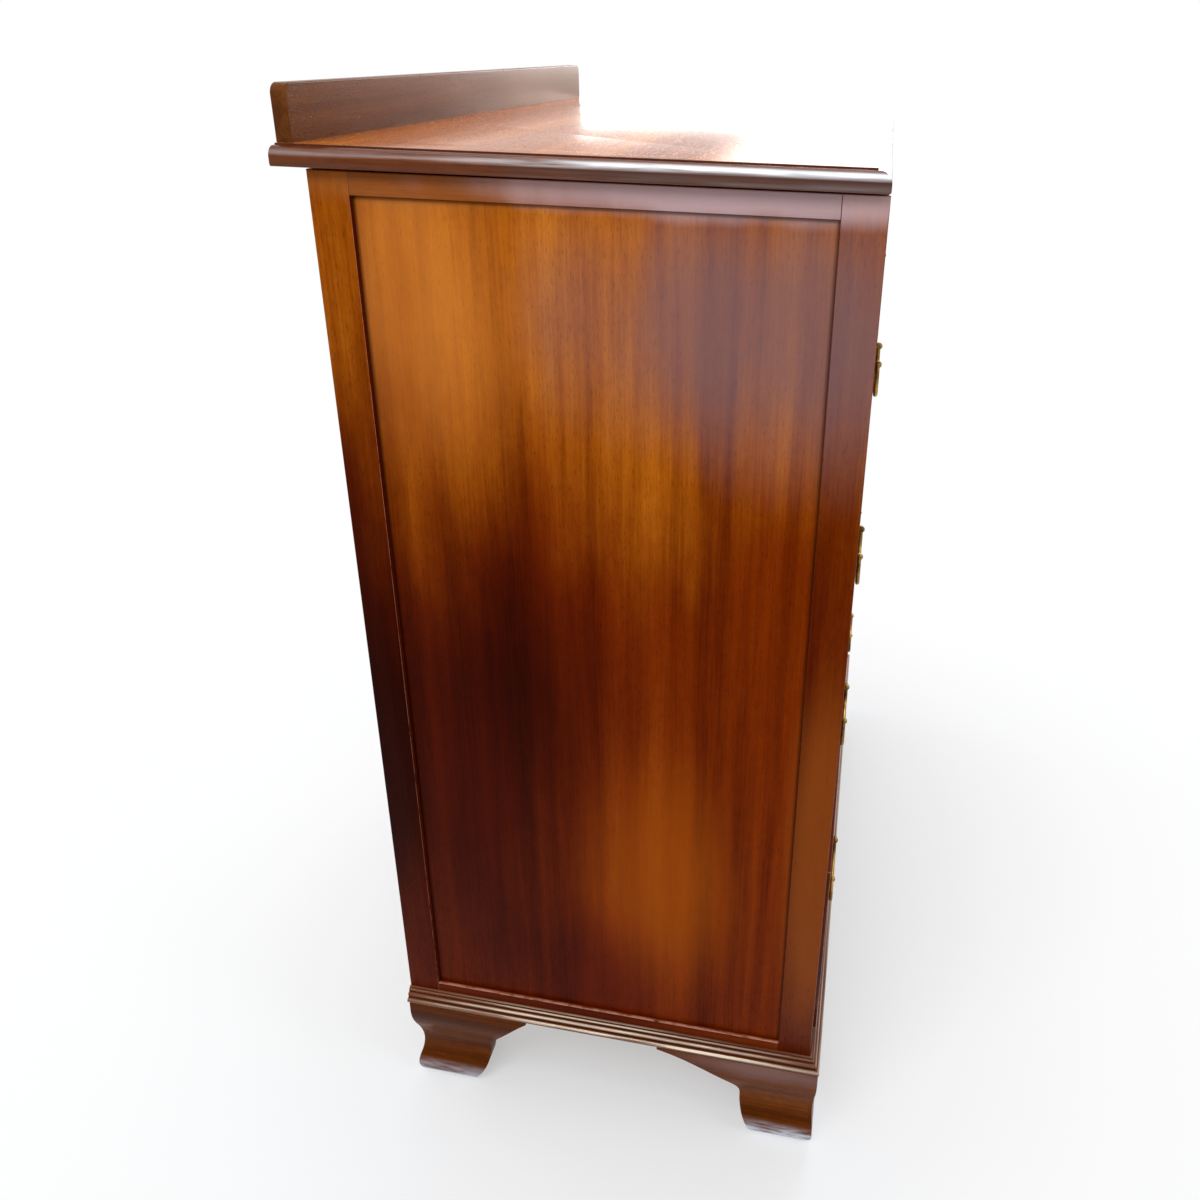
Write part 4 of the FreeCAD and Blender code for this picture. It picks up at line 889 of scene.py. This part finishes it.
line = addNode(bailTree, "GeometryNodeSetCurveRadius", {"Curve": line.outputs[0], "Radius": radius})
ring = addNode(bailTree, "GeometryNodeCurvePrimitiveCircle", {"Resolution": put["Sides"], "Radius": 1.0})
swept = addNode(bailTree, "GeometryNodeCurveToMesh", {
    "Curve": line.outputs[0], "Profile Curve": ring.outputs["Curve"], "Fill Caps": True})
if "Scale" in swept.inputs:
    bailTree.links.new(radius, swept.inputs["Scale"])
closeTree(bailTree, swept.outputs[0], put["Finish"])

# right half of the bail from its end in the post down to the middle, then mirrored: (x, z, girth)
leg = bail["shoulder"] + bail["neck"]
pinShare = bail["pin"] / bail["wire"]
half = [(bail["pinEnd"], 0, pinShare), (bail["shoulder"] - bail["pinStep"], 0, pinShare),
        (bail["shoulder"], 0, bail["legTop"])]
half += [(x, z, bail["legTop"]) for x, z in arc(
    (bail["shoulder"], -bail["neck"]), bail["neck"], 90, 0, bail["steps"])][1:]
straight = -bail["drop"] + bail["corner"]
for step in range(1, bail["legSteps"]):
    share = step / bail["legSteps"]
    half.append((leg, -bail["neck"] + (straight + bail["neck"]) * share,
                 bail["legTop"] + (bail["legFoot"] - bail["legTop"]) * share))
for number, (x, z) in enumerate(arc(
        (leg - bail["corner"], straight), bail["corner"], 0, -90, bail["steps"])):
    share = number / bail["steps"]
    half.append((x, z, bail["legFoot"] + (bail["gripEnd"] - bail["legFoot"]) * share))
for step in range(1, bail["gripSteps"] + 1):
    share = step / bail["gripSteps"]
    swell = 0.5 - 0.5 * math.cos(math.pi * share)
    half.append(((leg - bail["corner"]) * (1 - share), -bail["drop"],
                 bail["gripEnd"] + (bail["gripMiddle"] - bail["gripEnd"]) * swell))
wholeLine = half[:-1] + [(-x, z, wide) for x, z, wide in half[::-1]]
line = flatMesh("bailLine", [(x * mm, 0, z * mm) for x, z, wide in wholeLine],
                edges=[(index, index + 1) for index in range(len(wholeLine) - 1)],
                girth=[wide for x, z, wide in wholeLine])
bailMesh = grown(bailTree, line, {"Finish": finishes["agedBrass"]})

for drawer in drawers[1:]:
    node = f"{drawer}_handle_fittings"
    fittings = dressed(node, bail["fittingArris"], smoothTo=bail["fittingSmooth"])
    place(f"{node}_brass", fittings, node, "agedBrass")
    for hand in ("left", "right"):
        node = f"{drawer}_{hand}_bail"
        low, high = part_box(node)
        # the CAD bail hangs from its pivot line, a wire's radius below its highest point
        pivot = Vector(((low.x + high.x) / 2, (low.y + high.y) / 2, high.z - bail["wire"] * mm))
        points = [vertex.co + pivot for vertex in bailMesh.vertices]
        faces = [list(face.vertices) for face in bailMesh.polygons]
        heights = [vertex.co.z / mm for vertex in bailMesh.vertices]
        wearAndPaintedLight = [bail["wearAndPaintedLight"] * max(0, min(1, (bail["rubFrom"] - heights[index]) / bail["rubReach"]))
               for face in faces for index in face]
        mesh = finishMesh(node, points, faces, points, wearAndPaintedLight, smoothTo=bail["smoothTo"])
        place(f"{node}_brass", mesh, node, "agedBrass")
print("chiffonier: handles hung")


studio = {
    "floorTone": "#F2F5F8", "floorSize": 12.0, "paperRough": 0.95, "paperShine": 0.1, "worldLight": 0.4,
    # how much of the floor's white the shadows leave, near the object and further off (metres)
    "paperGlow": (0.42, 1.0), "glowReach": (0.4, 1.4),
    # softbox: place in metres, aim, size in metres, watts
    "softboxes": {
        "leftBox": ((-1.75, 0.42, 2.25), (-0.42, 0.0, 0.75), (1.4, 0.8), 19),
        "frontBox": ((-0.5, -2.3, 1.9), (0.0, -0.25, 0.6), (1.4, 0.9), 16),
        "rightBox": ((2.1, -0.5, 1.9), (0.42, 0.0, 0.6), (1.4, 1.0), 20),
        "windowBox": ((2.15, -0.1, 1.34), (0.0, -0.1, 1.1), (1.75, 0.42), 9),
        "stripBox": ((-1.3, 0.12, 2.9), (-0.43, 0.0, 1.1), (1.4, 0.2), 6),
        "backBox": ((0.2, 2.3, 1.8), (0.0, 0.24, 0.6), (1.4, 0.9), 16),
        "overheadBox": ((0.3, 0.2, 3.0), (0.0, 0.0, 0.8), (1.6, 1.2), 16),
    },
}
for name, (spot, aim, size, power) in studio["softboxes"].items():
    lamp = bpy.data.lights.new(name, "AREA")
    lamp.shape = "RECTANGLE"
    lamp.size, lamp.size_y = size
    lamp.energy = power
    softbox = bpy.data.objects.new(name, lamp)
    softbox.location = spot
    softbox.rotation_euler = (Vector(aim) - Vector(spot)).to_track_quat("-Z", "Y").to_euler()
    softbox.visible_camera = False
    scene.collection.objects.link(softbox)

edge = studio["floorSize"] / 2
floorMesh = flatMesh("studioFloor", [(-edge, -edge, 0), (edge, -edge, 0), (edge, edge, 0), (-edge, edge, 0)],
                     faces=[(0, 1, 2, 3)])
studioFloor = bpy.data.objects.new("studioFloor", floorMesh)
scene.collection.objects.link(studioFloor)


def seenDirectly(tree):
    # 1 for what the eye meets, also in polish or through glass, and 0 for what only lights the room
    seen = addNode(tree, "ShaderNodeLightPath").outputs
    direct = seen["Is Camera Ray"]
    for way in ("Is Glossy Ray", "Is Transmission Ray"):
        direct = addNode(tree, "ShaderNodeMath", {0: direct, 1: seen[way]}, operation="MAXIMUM").outputs[0]
    return direct


paper, paperTree, paperShader = newMaterial("paperSweep")
paperShader.inputs["Base Color"].default_value = linear(studio["floorTone"])
paperShader.inputs["Roughness"].default_value = studio["paperRough"]
paperShader.inputs["Specular IOR Level"].default_value = studio["paperShine"]
paperPlace = addNode(paperTree, "ShaderNodeTexCoord").outputs["Object"]
paperFar = addNode(paperTree, "ShaderNodeVectorMath", {0: paperPlace}, operation="LENGTH").outputs["Value"]
paperGlow = addNode(paperTree, "ShaderNodeMapRange", {
    "Value": paperFar, "From Min": studio["glowReach"][0], "From Max": studio["glowReach"][1],
    "To Min": studio["paperGlow"][0], "To Max": studio["paperGlow"][1]},
    interpolation_type="SMOOTHSTEP").outputs[0]
paperShare = addNode(paperTree, "ShaderNodeMath", {0: paperGlow, 1: seenDirectly(paperTree)},
                     operation="MULTIPLY").outputs[0]
paperWhite = addNode(paperTree, "ShaderNodeEmission", {"Color": (1, 1, 1, 1), "Strength": 1.0})
paperMixed = addNode(paperTree, "ShaderNodeMixShader", {
    0: paperShare, 1: paperShader.outputs[0], 2: paperWhite.outputs[0]})
paperTree.links.new(paperMixed.outputs[0], paperTree.nodes["Material Output"].inputs["Surface"])
floorMesh.materials.append(paper)

world = bpy.data.worlds.new("studioWorld")
scene.world = world
world.use_nodes = True
sky = world.node_tree
strength = addNode(sky, "ShaderNodeMix", {
    0: seenDirectly(sky), 2: studio["worldLight"], 3: 1.0}).outputs[0]
background = sky.nodes["Background"]
background.inputs["Color"].default_value = (1, 1, 1, 1)
sky.links.new(strength, background.inputs["Strength"])
scene.view_settings.view_transform = "Standard"
print("chiffonier: studio lit")
